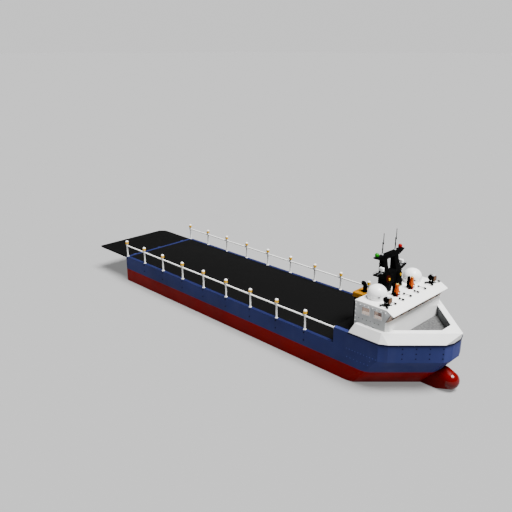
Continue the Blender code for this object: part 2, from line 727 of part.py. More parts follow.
def searchlights():
    """The searchlights: a cross foot with a yoke that turns, and a drum that tilts between its arms."""
    foot = ROOF_Z + GAP
    for name, side in (("starboard", -1), ("port", 1)):
        x, y, z = SEARCHLIGHT_X, side * SEARCHLIGHT_Y, SEARCHLIGHT_Z
        arm = SEARCHLIGHT_ARM_Y
        yoke = cylinder((x, y, foot), (x, y, foot + 0.05), 0.13, 12)
        for angle in (45, -45):
            leg = box((-0.32, -0.05, foot), (0.32, 0.05, foot + 0.04))
            leg.data.transform(Matrix.Translation((x, y, 0)) @ Matrix.Rotation(radians(angle), 4, "Z"))
            join(yoke, leg)
        join(yoke, cylinder((x, y, foot + 0.03), (x, y, foot + 0.08), 0.07, 10))
        join(yoke, box((x - 0.04, y - arm - 0.025, foot + 0.06), (x + 0.04, y + arm + 0.025, foot + 0.095)))
        for end in (-1, 1):
            ys = sorted((y + end * arm, y + end * (arm + 0.025)))
            join(yoke, box((x - 0.035, ys[0], foot + 0.07), (x + 0.035, ys[1], z + 0.05)))
        part(f"searchlight_yoke_{name}", yoke, "black_paint", (x, y, foot))
        drum = [(x - 0.22, 0.10), (x - 0.16, 0.17), (x + 0.16, 0.185), (x + 0.18, 0.205), (x + 0.23, 0.205)]
        head = faceted([
            (px, y + r * cos(2 * pi * k / 16), z + r * sin(2 * pi * k / 16)) for px, r in drum for k in range(16)
        ])
        reach = arm - 0.0004
        join(head, cylinder((x, y - reach, z), (x, y + reach, z), 0.025, 10))
        part(f"searchlight_head_{name}", head, "black_paint", (x, y, z))


def monitors():
    """The fire monitors: a turning yoke, and a tapered barrel that stands upright between its cheeks."""
    foot = ROOF_Z + GAP
    for name, side in (("starboard", -1), ("port", 1)):
        x, y, z = MONITOR_X, side * MONITOR_Y, MONITOR_PIVOT_Z
        cheek_y = MONITOR_CHEEK_Y
        yoke = cylinder((x, y, foot), (x, y, foot + 0.02), 0.23, 14)
        spine = [(-0.15, foot + 0.01), (0.15, foot + 0.01), (0.11, 5.55), (0.05, 5.96), (-0.05, 5.96), (-0.11, 5.55)]
        join(yoke, prism([(y + dy, dz) for dy, dz in spine], "yz", x - 0.215, x - 0.185))
        for reach in (-0.28, 0.22):
            join(yoke, box((x + reach - 0.06, y - 0.10, foot), (x + reach + 0.06, y + 0.10, foot + 0.07)))
        for end in (-1, 1):
            ys = sorted((y + end * cheek_y, y + end * (cheek_y + 0.03)))
            cheek = prism([(x - 0.13, foot + 0.01), (x + 0.13, foot + 0.01), (x + 0.05, z + 0.07), (x - 0.05, z + 0.07)],
                          "xz", *ys)
            join(yoke, cheek)
        part(f"monitor_yoke_{name}", yoke, "black_paint", (x, y, foot))
        profile = [(0, 6.07), (0.075, 6.07), (0.085, 5.98), (0.100, 5.94), (0.140, 5.58), (0.160, 5.44), (0.150, 5.40),
                   (0.08, 5.36), (0, 5.35)]
        barrel = turned(profile, (x, y, 0), 12)
        reach = cheek_y - 0.0004
        join(barrel, cylinder((x, y - reach, z), (x, y + reach, z), 0.035, 10))
        part(f"monitor_barrel_{name}", barrel, "orange_paint", (x, y, z))


def propulsion():
    """Propellers on their shafts, and balanced rudders, in the stern tunnels."""
    for name, side in (("starboard", -1), ("port", 1)):
        y = side * TUNNEL_Y
        screw = cylinder((PROPELLER_X - 0.14, y, SHAFT_Z), (PROPELLER_X + 0.14, y, SHAFT_Z), 0.10, 16)
        join(
            screw,
            cylinder((PROPELLER_X - 0.30, y, SHAFT_Z), (PROPELLER_X - 0.13, y, SHAFT_Z), 0.03, 16, 0.10),
            cylinder((PROPELLER_X, y, SHAFT_Z), (-8.95, y, SHAFT_Z), SHAFT_R, PIN_SIDES),
        )
        for blade_number in range(4):
            blade = faceted([
                (dx * chord, sign * thick, radius)
                for radius, chord, thick in ((0.06, 0.10, 0.016), (0.26, 0.17, 0.012), (0.42, 0.15, 0.009),
                                             (PROPELLER_R, 0.06, 0.006))
                for dx in (-1, 1) for sign in (-1, 1)
            ])
            pitch = Matrix.Rotation(radians(side * 40 + 90), 4, "Z")
            spin = Matrix.Rotation(radians(90 * blade_number), 4, "X")
            blade.data.transform(Matrix.Translation((PROPELLER_X, y, SHAFT_Z)) @ spin @ pitch)
            join(screw, blade)
        part(f"propeller_{name}", screw, "bronze", (PROPELLER_X, y, SHAFT_Z))
        section = [(RUDDER_X + 0.34, 0.0), (RUDDER_X + 0.26, 0.045), (RUDDER_X + 0.05, 0.06), (RUDDER_X - 0.50, 0.012)]
        outline = [(px, y - py) for px, py in section] + [(px, y + py) for px, py in reversed(section) if py > 0]
        rudder = prism(outline, "xy", RUDDER_LOW_Z, RUDDER_HIGH_Z)
        join(rudder, cylinder((RUDDER_X, y, RUDDER_HIGH_Z - 0.1), (RUDDER_X, y, TUNNEL_ROOF_Z + 0.13), STOCK_R, PIN_SIDES))
        part(f"rudder_{name}", rudder, "steel", (RUDDER_X, y, RUDDER_HIGH_Z))


def ramp():
    """The stern ramp, hinged on lugs across the transom."""
    half, low = RAMP_HALF_WIDTH, RAMP_TOP_Z - RAMP_THICKNESS
    front = RAMP_PIVOT_X + 0.07
    outline = [
        (front, -half), (front, half), (RAMP_END_X + RAMP_CORNER, half), (RAMP_END_X, half - RAMP_CORNER),
        (RAMP_END_X, -half),
    ]
    plate = prism(outline, "xy", low, RAMP_TOP_Z)
    for y in RAMP_LUG_YS:
        reach = RAMP_LUG_HALF + 0.006
        cut(plate, box((RAMP_PIVOT_X - 0.12, y - reach, low - 1), (0, y + reach, RAMP_TOP_Z + 1)))
    pin_z = RAMP_TOP_Z - RAMP_THICKNESS / 2
    join(plate, cylinder((RAMP_PIVOT_X, -half + 0.05, pin_z), (RAMP_PIVOT_X, half - 0.05, pin_z), RAMP_PIN_R, PIN_SIDES))
    part("stern_ramp", plate, "deck_black", (RAMP_PIVOT_X, 0, pin_z))


def cabin():
    """The helm console and the helm seat."""
    floor = UPPER_DECK_Z + GAP
    half = CONSOLE_HALF_WIDTH
    console = prism([(12.98, floor), (13.40, floor), (13.28, 4.30), (13.08, 4.30), (12.98, 4.10)], "xz", -half, half)
    part("helm_console", console, "console_grey")
    x, y = SEAT_X, SEAT_Y
    seat = cylinder((x, y, floor), (x, y, 3.75), 0.05, 10)
    join(
        seat,
        cylinder((x, y, floor), (x, y, floor + 0.03), 0.22, 14),
        box((x - 0.23, y - 0.25, 3.72), (x + 0.25, y + 0.25, 3.86)),
        box((x - 0.27, y - 0.23, 3.80), (x - 0.15, y + 0.23, 4.62)),
    )
    part("helm_seat", seat, "red_seat")


def main():
    hull()
    bulb()
    decks()
    bulwark()
    rail("rail_starboard", -1)
    rail("rail_port", 1)
    house_sides()
    house_front()
    house_aft()
    house_top()
    front_windows()
    casing()
    mast()
    lights()
    radars()
    radomes()
    searchlights()
    monitors()
    propulsion()
    ramp()
    cabin()


main()
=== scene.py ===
"""The looks of a car ferry: paint, plating, lamps, deck gear and cabin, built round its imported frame."""

import json
from math import cos, pi, radians, sin

import bpy
from mathutils import Euler, Matrix, Vector

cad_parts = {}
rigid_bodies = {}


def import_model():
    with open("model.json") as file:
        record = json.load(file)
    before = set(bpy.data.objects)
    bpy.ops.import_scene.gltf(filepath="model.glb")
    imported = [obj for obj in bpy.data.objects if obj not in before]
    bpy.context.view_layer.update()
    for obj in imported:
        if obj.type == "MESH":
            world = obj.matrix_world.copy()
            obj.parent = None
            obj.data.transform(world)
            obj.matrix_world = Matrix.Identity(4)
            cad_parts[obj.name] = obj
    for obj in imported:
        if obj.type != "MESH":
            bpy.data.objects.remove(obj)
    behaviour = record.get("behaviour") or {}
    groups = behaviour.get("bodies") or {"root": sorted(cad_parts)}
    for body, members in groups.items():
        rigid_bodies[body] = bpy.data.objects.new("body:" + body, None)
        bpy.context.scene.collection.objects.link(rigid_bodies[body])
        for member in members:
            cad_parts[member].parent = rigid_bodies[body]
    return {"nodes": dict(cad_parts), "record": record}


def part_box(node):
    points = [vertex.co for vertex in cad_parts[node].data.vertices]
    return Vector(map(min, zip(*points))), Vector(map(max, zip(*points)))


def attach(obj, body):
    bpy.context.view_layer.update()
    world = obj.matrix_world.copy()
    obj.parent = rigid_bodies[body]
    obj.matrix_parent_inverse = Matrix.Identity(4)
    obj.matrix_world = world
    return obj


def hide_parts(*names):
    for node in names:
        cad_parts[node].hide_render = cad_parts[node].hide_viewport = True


bl_info = {
    "name": "Car Ferry",
    "version": (1, 0, 0),
    "blender": (4, 5, 0),
    "location": "3D View > Sidebar > Car Ferry",
    "description": "Paints and fits out the frame of a car ferry",
    "category": "Object",
}

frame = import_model()
NODES = frame["nodes"]

# Where each joint's axis is
PIVOTS = {joint["name"]: joint["pos_m"] for joint in frame["record"]["behaviour"]["joints"]}

# Sides of the ship, as the sign of Y
SIDES = (("starboard", -1), ("port", 1))
ORIGIN = (0, 0, 0)

# Heights and half widths read from the frame
DECK_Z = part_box("car_deck")[1].z
UPPER_DECK_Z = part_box("foredeck")[1].z
BULWARK_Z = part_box("bulwark")[1].z
ROOF_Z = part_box("wheelhouse_roof")[1].z
BEAM_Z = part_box("mast")[1].z
HALF_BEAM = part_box("hull")[1].y
HOUSE_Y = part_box("wheelhouse_side_port")[1].y

# Half outline of the hull's upper edge round the bow, as (x, y)
BOW_EDGE = [(11.15, 3.62), (13.35, 3.62), (13.85, 3.34), (16.20, 0.99), (16.40, 0.42)]

# How far a step of 1 m at 45 degrees goes along X, and along Y
DIAGONAL = 0.7071

# The bulwark's inner walls: the sides' Y, the sum of X and Y on the slanted walls, and the front one's X
WELL_Y, WELL_SUM, WELL_X = 3.10, 16.14, 15.63

# Lamp posts along the rails
POST_XS = [-12.50 + 2.52 * number for number in range(9)]
POST_Y = 3.50
RAIL_Z = DECK_Z + 0.96
RAIL_END_X = 10.06

# The wheelhouse's side windows, and the room inside it
WINDOW_SPANS = [(11.70, 12.28), (12.56, 13.13)]
WINDOW_LOW_Z, WINDOW_HIGH_Z = 4.51, 5.00
FLOOR_Z = 3.31
ROOM_X, ROOM_Y, ROOM_TOP_Z = 11.32, 3.0, 5.14

# The amber lamps' and the whip antennas' places on the mast
MAST_LAMP_X, MAST_LAMP_Y = 11.90, 0.63
BEAM_X, WHIP_Y, SIDELIGHT_Y = 11.30, 0.70, 1.27

# Degrees that two faces turn before the edge between them stays crisp: on the hull's flat plates, on welded
# plate, on turned pieces and on pipes
FLAT_CREASE, PLATE_CREASE, TURNED_CREASE, PIPE_CREASE = 12, 35, 35, 50


# Colour and shader nodes


def linear(colour):
    """An sRGB hex colour as linear RGB. A colour from the panel is linear already."""
    if not isinstance(colour, str):
        return tuple(colour[:3])
    channels = [int(colour[i : i + 2], 16) / 255 for i in (1, 3, 5)]
    return tuple(c / 12.92 if c <= 0.04045 else ((c + 0.055) / 1.055) ** 2.4 for c in channels)


def shade(colour, factor):
    """The colour made this many times as bright."""
    return tuple(min(c * factor, 1.0) for c in linear(colour))


def add_node(tree, kind, settings=None, links=None):
    """Adds a shader node, fills in its settings and sockets, and links other nodes' outputs into it."""
    made = tree.nodes.new(kind)
    for name, value in (settings or {}).items():
        if isinstance(name, int) or name in made.inputs:
            made.inputs[name].default_value = value
        else:
            setattr(made, name, value)
    for name, source in (links or {}).items():
        tree.links.new(source, made.inputs[name])
    return made


def start_material(name, **sockets):
    """A Principled material with these constant values on its own sockets."""
    material = bpy.data.materials.new(name)
    material.use_nodes = True
    tree = material.node_tree
    shader = tree.nodes["Principled BSDF"]
    for socket, value in sockets.items():
        shader.inputs[socket.replace("_", " ")].default_value = value
    return material, tree, shader


def feed(tree, shader, **patterns):
    """Links patterns into the shader's sockets."""
    for socket, pattern in patterns.items():
        tree.links.new(pattern, shader.inputs[socket.replace("_", " ")])


def coordinates(tree, kind="Object"):
    """The X, Y and Z of the point being shaded."""
    place = add_node(tree, "ShaderNodeTexCoord")
    return add_node(tree, "ShaderNodeSeparateXYZ", {}, {"Vector": place.outputs[kind]}).outputs


def per_metre(millimetres):
    """The scale of a pattern on object coordinates whose features are this far apart."""
    return 1000 / millimetres


def noise(tree, millimetres, detail=3.0, stretch=(1, 1, 1)):
    """A noise pattern over the surface, from 0 to 1, with features of this size."""
    place = add_node(tree, "ShaderNodeTexCoord")
    mapped = add_node(tree, "ShaderNodeMapping", {"Scale": stretch}, {"Vector": place.outputs["Object"]})
    settings = {"Scale": per_metre(millimetres), "Detail": detail}
    return add_node(tree, "ShaderNodeTexNoise", settings, {"Vector": mapped.outputs["Vector"]}).outputs["Fac"]


def ramp(tree, source, low, high, low_at=0.35, high_at=0.65):
    """Turns a pattern into a blend of two colours, or of two numbers given as grey."""
    low, high = [(c, c, c, 1) if isinstance(c, float) else (*c[:3], 1) for c in (low, high)]
    made = add_node(tree, "ShaderNodeValToRGB", {}, {"Fac": source})
    ends = made.color_ramp.elements
    ends[0].position, ends[0].color = low_at, low
    ends[1].position, ends[1].color = high_at, high
    return made.outputs["Color"]


def tinted(tree, pattern, colour, low, high):
    """The colour, darkened and lightened by a pattern between these two factors."""
    return ramp(tree, pattern, shade(colour, low), shade(colour, high))


def blend(tree, factor, first, second):
    """Mixes two colours by a factor. Each of the three is a socket or a fixed value."""
    mixed = add_node(tree, "ShaderNodeMix", {"data_type": "RGBA"})
    # On a mix of colours, the factor is input 0, and the colours are inputs 6 and 7
    for slot, source in ((0, factor), (6, first), (7, second)):
        if isinstance(source, bpy.types.NodeSocket):
            tree.links.new(source, mixed.inputs[slot])
        else:
            mixed.inputs[slot].default_value = (*source[:3], 1) if slot else source
    return mixed.outputs[2]


def bump(tree, shader, height, strength, distance):
    """Raises the surface by a pattern, up to this distance in metres, on top of what is raised already."""
    made = add_node(tree, "ShaderNodeBump", {"Strength": strength, "Distance": distance}, {"Height": height})
    for link in shader.inputs["Normal"].links:
        tree.links.new(link.from_socket, made.inputs["Normal"])
    tree.links.new(made.outputs["Normal"], shader.inputs["Normal"])


def plate_seams(tree, shader, width, height):
    """Butts and laps of welded plate this wide and high, as lines raised a little under the paint."""
    axes = coordinates(tree)
    flat = add_node(tree, "ShaderNodeCombineXYZ", {}, {"X": axes["X"], "Y": axes["Z"]})
    settings = {"Scale": 1.0, "Brick Width": width, "Row Height": height}
    settings |= {"Mortar Size": 0.012, "Mortar Smooth": 0.6}
    plates = add_node(tree, "ShaderNodeTexBrick", settings, {"Vector": flat.outputs["Vector"]})
    bump(tree, shader, plates.outputs["Fac"], 0.35, 0.006)


# Finishes


def worn_paint(name, colour, roughness, mottle_mm=900.0, mottle=0.10, peel_mm=14.0, peel=0.12, gloss=0.4):
    """Brushed or sprayed enamel on steel: large faint clouds of fading, and the orange peel of a roller."""
    material, tree, shader = start_material(name, Specular_IOR_Level=gloss, IOR=1.5)
    tint = tinted(tree, noise(tree, mottle_mm, 4.0), colour, 1 - mottle, 1 + mottle)
    sheen = ramp(tree, noise(tree, mottle_mm / 3, 3.0), roughness - 0.06, roughness + 0.08)
    feed(tree, shader, Base_Color=tint, Roughness=sheen)
    bump(tree, shader, noise(tree, peel_mm, 2.0), peel, 0.002)
    return material


def hull_paint(paints):
    """Epoxy hull paint, blue above the paint line and red below it, rolled on and a little chalked."""
    material, tree, shader = start_material("hull_epoxy_paint", IOR=1.5, Specular_IOR_Level=0.05)
    height = coordinates(tree)["Z"]
    above = add_node(tree, "ShaderNodeMath", {"operation": "GREATER_THAN", 1: paints.paint_line}, {0: height})
    clouds = noise(tree, 2600.0, 4.0)
    blue = tinted(tree, clouds, paints.topside, 0.88, 1.15)
    red = tinted(tree, clouds, paints.bottom, 0.85, 1.12)
    # Rain and salt leave faint pale runs down the blue plating
    runs = ramp(tree, noise(tree, 700.0, 3.0, (1.0, 1.0, 0.12)), 0.0, 0.012, 0.52, 0.78)
    blue = blend(tree, runs, blue, shade(paints.white, 0.6))
    chalk = ramp(tree, noise(tree, 1100.0), 0.38, 0.54)
    feed(tree, shader, Base_Color=blend(tree, above.outputs[0], red, blue), Roughness=chalk)
    plate_seams(tree, shader, 2.52, 0.95)
    bump(tree, shader, noise(tree, 26.0, 2.0), 0.08, 0.002)
    return material


def grit_coating(name, colour, grit_mm, roughness, mottle):
    """Epoxy deck coating with broadcast grit: matt, speckled and rough, drawn coarse enough to show."""
    material, tree, shader = start_material(name, IOR=1.45, Specular_IOR_Level=0.04)
    clouds = noise(tree, 1500.0, 4.0)
    specks = noise(tree, grit_mm, 2.0)
    worn = tinted(tree, clouds, colour, 1 - mottle / 2, 1 + mottle / 2)
    speckled = tinted(tree, specks, colour, 1 - mottle, 1 + mottle)
    sheen = ramp(tree, clouds, roughness - 0.05, roughness + 0.05)
    feed(tree, shader, Base_Color=blend(tree, 0.6, worn, speckled), Roughness=sheen)
    bump(tree, shader, specks, 0.35, 0.004)
    return material


def pane_glass(name, colour, roughness=0.05):
    """Toughened float glass with a faint body tint: clear, with sharp reflections."""
    material, tree, shader = start_material(name, Roughness=roughness, IOR=1.5, Alpha=0.32)
    feed(tree, shader, Base_Color=tinted(tree, noise(tree, 1800.0, 2.0), colour, 0.92, 1.05))
    return material


def glowing(name, colour, glow, **sockets):
    """A material that gives off a little of its own colour."""
    return start_material(name, Emission_Strength=glow, Emission_Color=(*linear(colour), 1), **sockets)


def lamp_glass(name, colour, glow):
    """Moulded acrylic lamp lens: deep colour, glossy, and lit a little from inside."""
    material, tree, shader = glowing(name, colour, glow, Roughness=0.30, IOR=1.49, Specular_IOR_Level=0.12)
    feed(tree, shader, Base_Color=tinted(tree, noise(tree, 60.0, 1.0), colour, 0.85, 1.1))
    return material


def cabin_laminate(name, colour, glow):
    """Melamine-faced panels under cabin lights: satin, and glowing a little, so that the room shows."""
    material, tree, shader = glowing(name, colour, glow)
    clouds = noise(tree, 500.0, 3.0)
    tint = tinted(tree, clouds, colour, 0.94, 1.04)
    feed(tree, shader, Base_Color=tint, Roughness=ramp(tree, clouds, 0.42, 0.55))
    bump(tree, shader, noise(tree, 12.0, 2.0), 0.05, 0.001)
    return material


def bare_metal(name, colour, roughness, grain_mm=40.0):
    """Machined or cast metal: an even tint with a cloudy sheen."""
    material, tree, shader = start_material(name, Metallic=1.0)
    grain = noise(tree, grain_mm, 3.0)
    sheen = ramp(tree, grain, roughness - 0.08, roughness + 0.08)
    feed(tree, shader, Base_Color=tinted(tree, grain, colour, 0.85, 1.08), Roughness=sheen)
    return material


# Sizes and colours in the panel


def colour_setting(name, description, colour):
    """A colour that the panel shows."""
    return bpy.props.FloatVectorProperty(
        name=name, description=description, subtype="COLOR", default=linear(colour)
    )


def length_setting(name, description, metres):
    """A length that the panel shows."""
    return bpy.props.FloatProperty(name=name, description=description, unit="LENGTH", default=metres)


class FerryPaints(bpy.types.PropertyGroup):
    """Colours of the ferry, and where the two hull colours meet."""

    topside: colour_setting("Topsides", "Hull above the paint line", "#2b3260")
    bottom: colour_setting("Bottom", "Hull below the paint line", "#740202")
    deck: colour_setting("Vehicle deck", "Coating of the vehicle deck", "#0b0b0b")
    ramp: colour_setting("Ramp", "Coating of the stern ramp", "#0a0a0a")
    foredeck: colour_setting("Foredeck", "Grit coating of the foredeck", "#565656")
    white: colour_setting("White", "Wheelhouse, bulwark and rails", "#f0f0ee")
    black: colour_setting("Black", "Mast, exhaust and brackets", "#050505")
    orange: colour_setting("Casing orange", "Engine casing's hood", "#a86f00")
    flame: colour_setting("Monitor orange", "Fire monitors", "#b24a00")
    lining: colour_setting("Lining", "Panels inside the wheelhouse", "#cdb8aa")
    seat: colour_setting("Seat", "Upholstery of the helm seat", "#6b1417")
    glass: colour_setting("Glass", "Tint of the windows", "#a3948a")
    paint_line: length_setting("Paint line", "Height where blue meets red", 1.09)


class FerrySizes(bpy.types.PropertyGroup):
    """Sizes of the small parts."""

    rivet: length_setting("Rivet", "Radius of a rivet's head, drawn large enough to show", 0.036)
    plate_edge: length_setting("Plate edge", "Rounding of plate edges", 0.012)
    rail_bar: length_setting("Rail bar", "Radius of the rail", 0.052)
    lens: length_setting("Rail lamp", "Radius of a rail lamp's lens", 0.118)
    strake: length_setting("Strake", "Radius of the rubbing strake under the bulwark", 0.05)


def materials():
    """Makes every finish once, from the colours in the panel."""
    paints = bpy.context.scene.ferry_paints
    return {
        # Rolled hull paint looks even and slightly chalked; only the bulb's nose is glossy
        "hull": hull_paint(paints),
        "gunwale": worn_paint("navy_gunwale_enamel", "#1c2249", 0.50, 900.0, 0.08, gloss=0.05),
        "bulb": worn_paint("red_antifouling_paint", "#5a0101", 0.45, 1200.0, 0.08, gloss=0.05),
        "nose": worn_paint("red_gloss_enamel", "#5a0101", 0.14, 1200.0, 0.06, peel=0.02, gloss=0.26),
        "rivet_blue": worn_paint("blue_touch_up_enamel", "#2b3a80", 0.40, 300.0, 0.08, gloss=0.3),
        # The strake's and scuppers' near-black rubber also paints the shadow line under the bulwark and the
        # shade in the drain mouths
        "strake": worn_paint("navy_fender_rubber", "#05071f", 0.60, 200.0, 0.15, gloss=0.1),
        # Grit in the deck coatings looks matt and speckled
        "deck": grit_coating("vehicle_deck_grit", paints.deck, 45.0, 0.92, 0.25),
        "ramp": grit_coating("ramp_grit", paints.ramp, 45.0, 0.92, 0.25),
        "foredeck": grit_coating("foredeck_grit", paints.foredeck, 150.0, 0.80, 0.42),
        # Enamel on steel is satin with faint clouds: clean white, a greyed white on the walls that paints
        # their shade, and matt black
        "white": worn_paint("white_marine_enamel", paints.white, 0.36, 1600.0, 0.03),
        "wall": worn_paint("greyed_white_enamel", "#aeb0b1", 0.42, 1600.0, 0.04, gloss=0.2),
        "black": worn_paint("black_marine_enamel", paints.black, 0.60, 700.0, 0.20, gloss=0.01),
        # Sprayed enamel on hood, monitors and fittings: strong colours, hardly glossy
        "orange": worn_paint("orange_marine_enamel", paints.orange, 0.42, 700.0, 0.06, gloss=0.05),
        "flame": worn_paint("fire_monitor_enamel", paints.flame, 0.38, 300.0, 0.08, gloss=0.08),
        # Scarlet paints the darker shade on the sides and foot of the orange monitors
        "scarlet": worn_paint("scarlet_marine_enamel", "#7c0500", 0.42, 300.0, 0.08, gloss=0.08),
        # Pale yellow on the monitors' tips and handles paints the highlight at the barrels' tops
        "yellow": worn_paint("pale_yellow_enamel", "#e8d878", 0.36, 200.0, 0.05),
        "grey": worn_paint("light_grey_enamel", "#a3a5a7", 0.42, 300.0, 0.05),
        "trim": worn_paint("pale_window_trim", "#c4c8ca", 0.42, 300.0, 0.05, gloss=0.2),
        # Mid grey also paints the shade on the bulwark's inner walls
        "mid_grey": worn_paint("mid_grey_enamel", "#5e6061", 0.50, 300.0, 0.08, gloss=0.05),
        "dark_grey": worn_paint("dark_grey_enamel", "#2e2f30", 0.50, 300.0, 0.08, gloss=0.05),
        # The sill's pale tan paints the lit room seen through the front glass, lightened where the brow
        # shades it
        "sill": worn_paint("tan_sill_enamel", "#d8b8a0", 0.50, 400.0, 0.05, gloss=0.1),
        # The room's laminates glow as if lit, and its vinyl has a fine grain
        "lining": cabin_laminate("peach_wall_laminate", paints.lining, 0.45),
        "counter": cabin_laminate("cream_counter_laminate", "#efe4dc", 0.90),
        "seat": worn_paint("dark_red_vinyl", paints.seat, 0.55, 90.0, 0.15, 5.0, 0.4),
        # Panes are clear with sharp reflections, in dull black rubber
        "glass": pane_glass("tinted_window_glass", paints.glass),
        "gasket": worn_paint("window_rubber", "#101010", 0.65, 200.0, 0.15, 8.0, 0.2, gloss=0.1),
        # Lamp lenses are deep in colour and glossy
        "green": lamp_glass("green_lens_acrylic", "#017c06", 0.10),
        "red": lamp_glass("red_lens_acrylic", "#8a0000", 0.10),
        "amber": lamp_glass("amber_lens_acrylic", "#b88900", 0.45),
        "tan_lens": lamp_glass("warm_searchlight_glass", "#5a3f2c", 0.02),
        # A dark red disc on the mast paints the glow of the starboard amber lamp
        "halo": worn_paint("dark_red_reflector", "#240401", 0.6, 80.0, 0.15, gloss=0.02),
        # Bare metal has cloudy reflections
        "steel": bare_metal("brushed_stainless_steel", "#8c8c8c", 0.34),
        "bronze": bare_metal("cast_propeller_bronze", "#b98a4a", 0.36, 90.0),
        # Moulded and laminated parts are smooth, with almost no mottling
        "plastic": worn_paint("white_moulded_fibreglass", "#f4f4f4", 0.30, 900.0, 0.02),
        "screen": worn_paint("dark_display_glass", "#0a1016", 0.12, 200.0, 0.05, 90.0, 0.02),
        "console": worn_paint("grey_console_laminate", "#55585c", 0.50, 250.0, 0.08),
    }


FINISH = {}


# Modelling by hand in code


def deselect():
    """Leaves nothing selected, in object mode."""
    if bpy.context.mode != "OBJECT":
        bpy.ops.object.mode_set(mode="OBJECT")
    bpy.ops.object.select_all(action="DESELECT")


def activate(piece):
    """Leaves only this piece selected, and makes it the active one."""
    deselect()
    piece.select_set(True)
    bpy.context.view_layer.objects.active = piece


def duplicate(piece):
    """A copy with its own mesh."""
    activate(piece)
    bpy.ops.object.duplicate(linked=False)
    return bpy.context.active_object


def settle(piece):
    """Moves the piece's place into its mesh, so that its object stands at the origin."""
    activate(piece)
    bpy.ops.object.transform_apply(location=True, rotation=True, scale=True)
    return piece


def new_piece(name):
    """Names the active object, and settles it."""
    piece = bpy.context.active_object
    piece.name = name
    piece.data.name = name
    return settle(piece)


def edit_all():
    """Goes into edit mode with the whole mesh selected."""
    bpy.ops.object.mode_set(mode="EDIT")
    bpy.ops.mesh.select_all(action="SELECT")


def leave_closed():
    """Turns every face outwards, and leaves edit mode."""
    bpy.ops.mesh.select_all(action="SELECT")
    bpy.ops.mesh.normals_make_consistent(inside=False)
    bpy.ops.object.mode_set(mode="OBJECT")


def apply_modifier(piece, kind, **settings):
    activate(piece)
    modifier = piece.modifiers.new("shaping", kind)
    for name, value in settings.items():
        setattr(modifier, name, value)
    bpy.ops.object.modifier_apply(modifier=modifier.name)
    return piece


def round_edges(piece, width, segments=2, crease=PLATE_CREASE):
    """Rounds the sharp edges and smooths what is curved, up to the crease angle."""
    sharp = radians(30)
    apply_modifier(piece, "BEVEL", width=width, segments=segments, limit_method="ANGLE", angle_limit=sharp)
    activate(piece)
    bpy.ops.object.shade_smooth_by_angle(angle=radians(crease))
    return piece


def block(name, low, high):
    """A box between two corners."""
    deselect()
    low, high = Vector(low), Vector(high)
    bpy.ops.mesh.primitive_cube_add(size=1, location=(low + high) / 2, scale=high - low)
    return new_piece(name)


def slab(name, low, high, edge, finish, segments=2):
    """A box with rounded edges, in its finish."""
    return paint(round_edges(block(name, low, high), edge, segments), finish)


def turned(name, centre, profile, sides=24):
    """A round piece about a vertical axis: a disc drawn up or down, ring by ring through (radius, height)."""
    deselect()
    radius, height = profile[0]
    x, y, base = centre
    at = (x, y, base + height)
    bpy.ops.mesh.primitive_circle_add(vertices=sides, radius=radius, fill_type="NGON", location=at)
    edit_all()
    for (r0, z0), (r1, z1) in zip(profile, profile[1:]):
        bpy.ops.mesh.extrude_region_move(TRANSFORM_OT_translate={"value": (0, 0, z1 - z0)})
        grow = r1 / r0
        bpy.ops.transform.resize(value=(grow, grow, 1), center_override=(x, y, base + z1))
    leave_closed()
    piece = new_piece(name)
    bpy.ops.object.shade_smooth_by_angle(angle=radians(TURNED_CREASE))
    return piece


def pipe(name, points, radius, sides=12, closed=False):
    """A round bar through the points, and back to the first if it is closed."""
    deselect()
    bpy.ops.curve.primitive_bezier_curve_add()
    path = bpy.context.active_object
    path.location = ORIGIN
    path.data.splines.clear()
    spline = path.data.splines.new("POLY")
    spline.points.add(len(points) - 1)
    for point, at in zip(spline.points, points):
        point.co = (*at, 1)
    path.data.dimensions = "3D"
    path.data.bevel_depth = radius
    path.data.bevel_resolution = max(sides // 4 - 1, 0)
    path.data.use_fill_caps = not closed
    spline.use_cyclic_u = closed
    bpy.ops.object.convert(target="MESH")
    edit_all()
    bpy.ops.mesh.remove_doubles(threshold=0.00001)
    leave_closed()
    piece = new_piece(name)
    bpy.ops.object.shade_smooth_by_angle(angle=radians(PIPE_CREASE))
    return piece


def plate(name, corners, depth):
    """A flat plate: a disc with as many corners as the plate has, each moved to its place, then extruded."""
    deselect()
    bpy.ops.mesh.primitive_circle_add(vertices=len(corners), radius=1, fill_type="NGON")
    for vertex, corner in zip(bpy.context.active_object.data.vertices, corners):
        vertex.co = corner
    edit_all()
    bpy.ops.mesh.extrude_region_move(TRANSFORM_OT_translate={"value": depth})
    leave_closed()
    return new_piece(name)


def lay(piece, centre, turn):
    """Turns a finished piece about a point, by Euler angles in degrees."""
    about = Matrix.Translation(centre) @ Euler([radians(a) for a in turn]).to_matrix().to_4x4()
    piece.matrix_world = about @ Matrix.Translation(-Vector(centre)) @ piece.matrix_world
    return settle(piece)


def paint(piece, finish):
    """Gives the whole piece one finish."""
    piece.data.materials.clear()
    piece.data.materials.append(FINISH[finish])
    return piece


def repaint(piece, finish, test):
    """Gives the faces that pass the test another finish."""
    piece.data.materials.append(FINISH[finish])
    for face in piece.data.polygons:
        if test(face.center):
            face.material_index = len(piece.data.materials) - 1
    return piece


def gather(name, pieces):
    """Joins pieces into one object. Each keeps its finish."""
    deselect()
    for piece in pieces:
        piece.select_set(True)
    bpy.context.view_layer.objects.active = pieces[0]
    if len(pieces) > 1:
        bpy.ops.object.join()
    pieces[0].name = name
    pieces[0].data.name = name
    return pieces[0]


def fit(piece, slot, *nodes, finish=None, body="vessel"):
    """The piece gets a finish, rides on a body, and stands for these nodes; its slot is not used."""
    if finish:
        paint(piece, finish)
    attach(piece, body)
    if nodes:
        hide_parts(*nodes)
    return piece


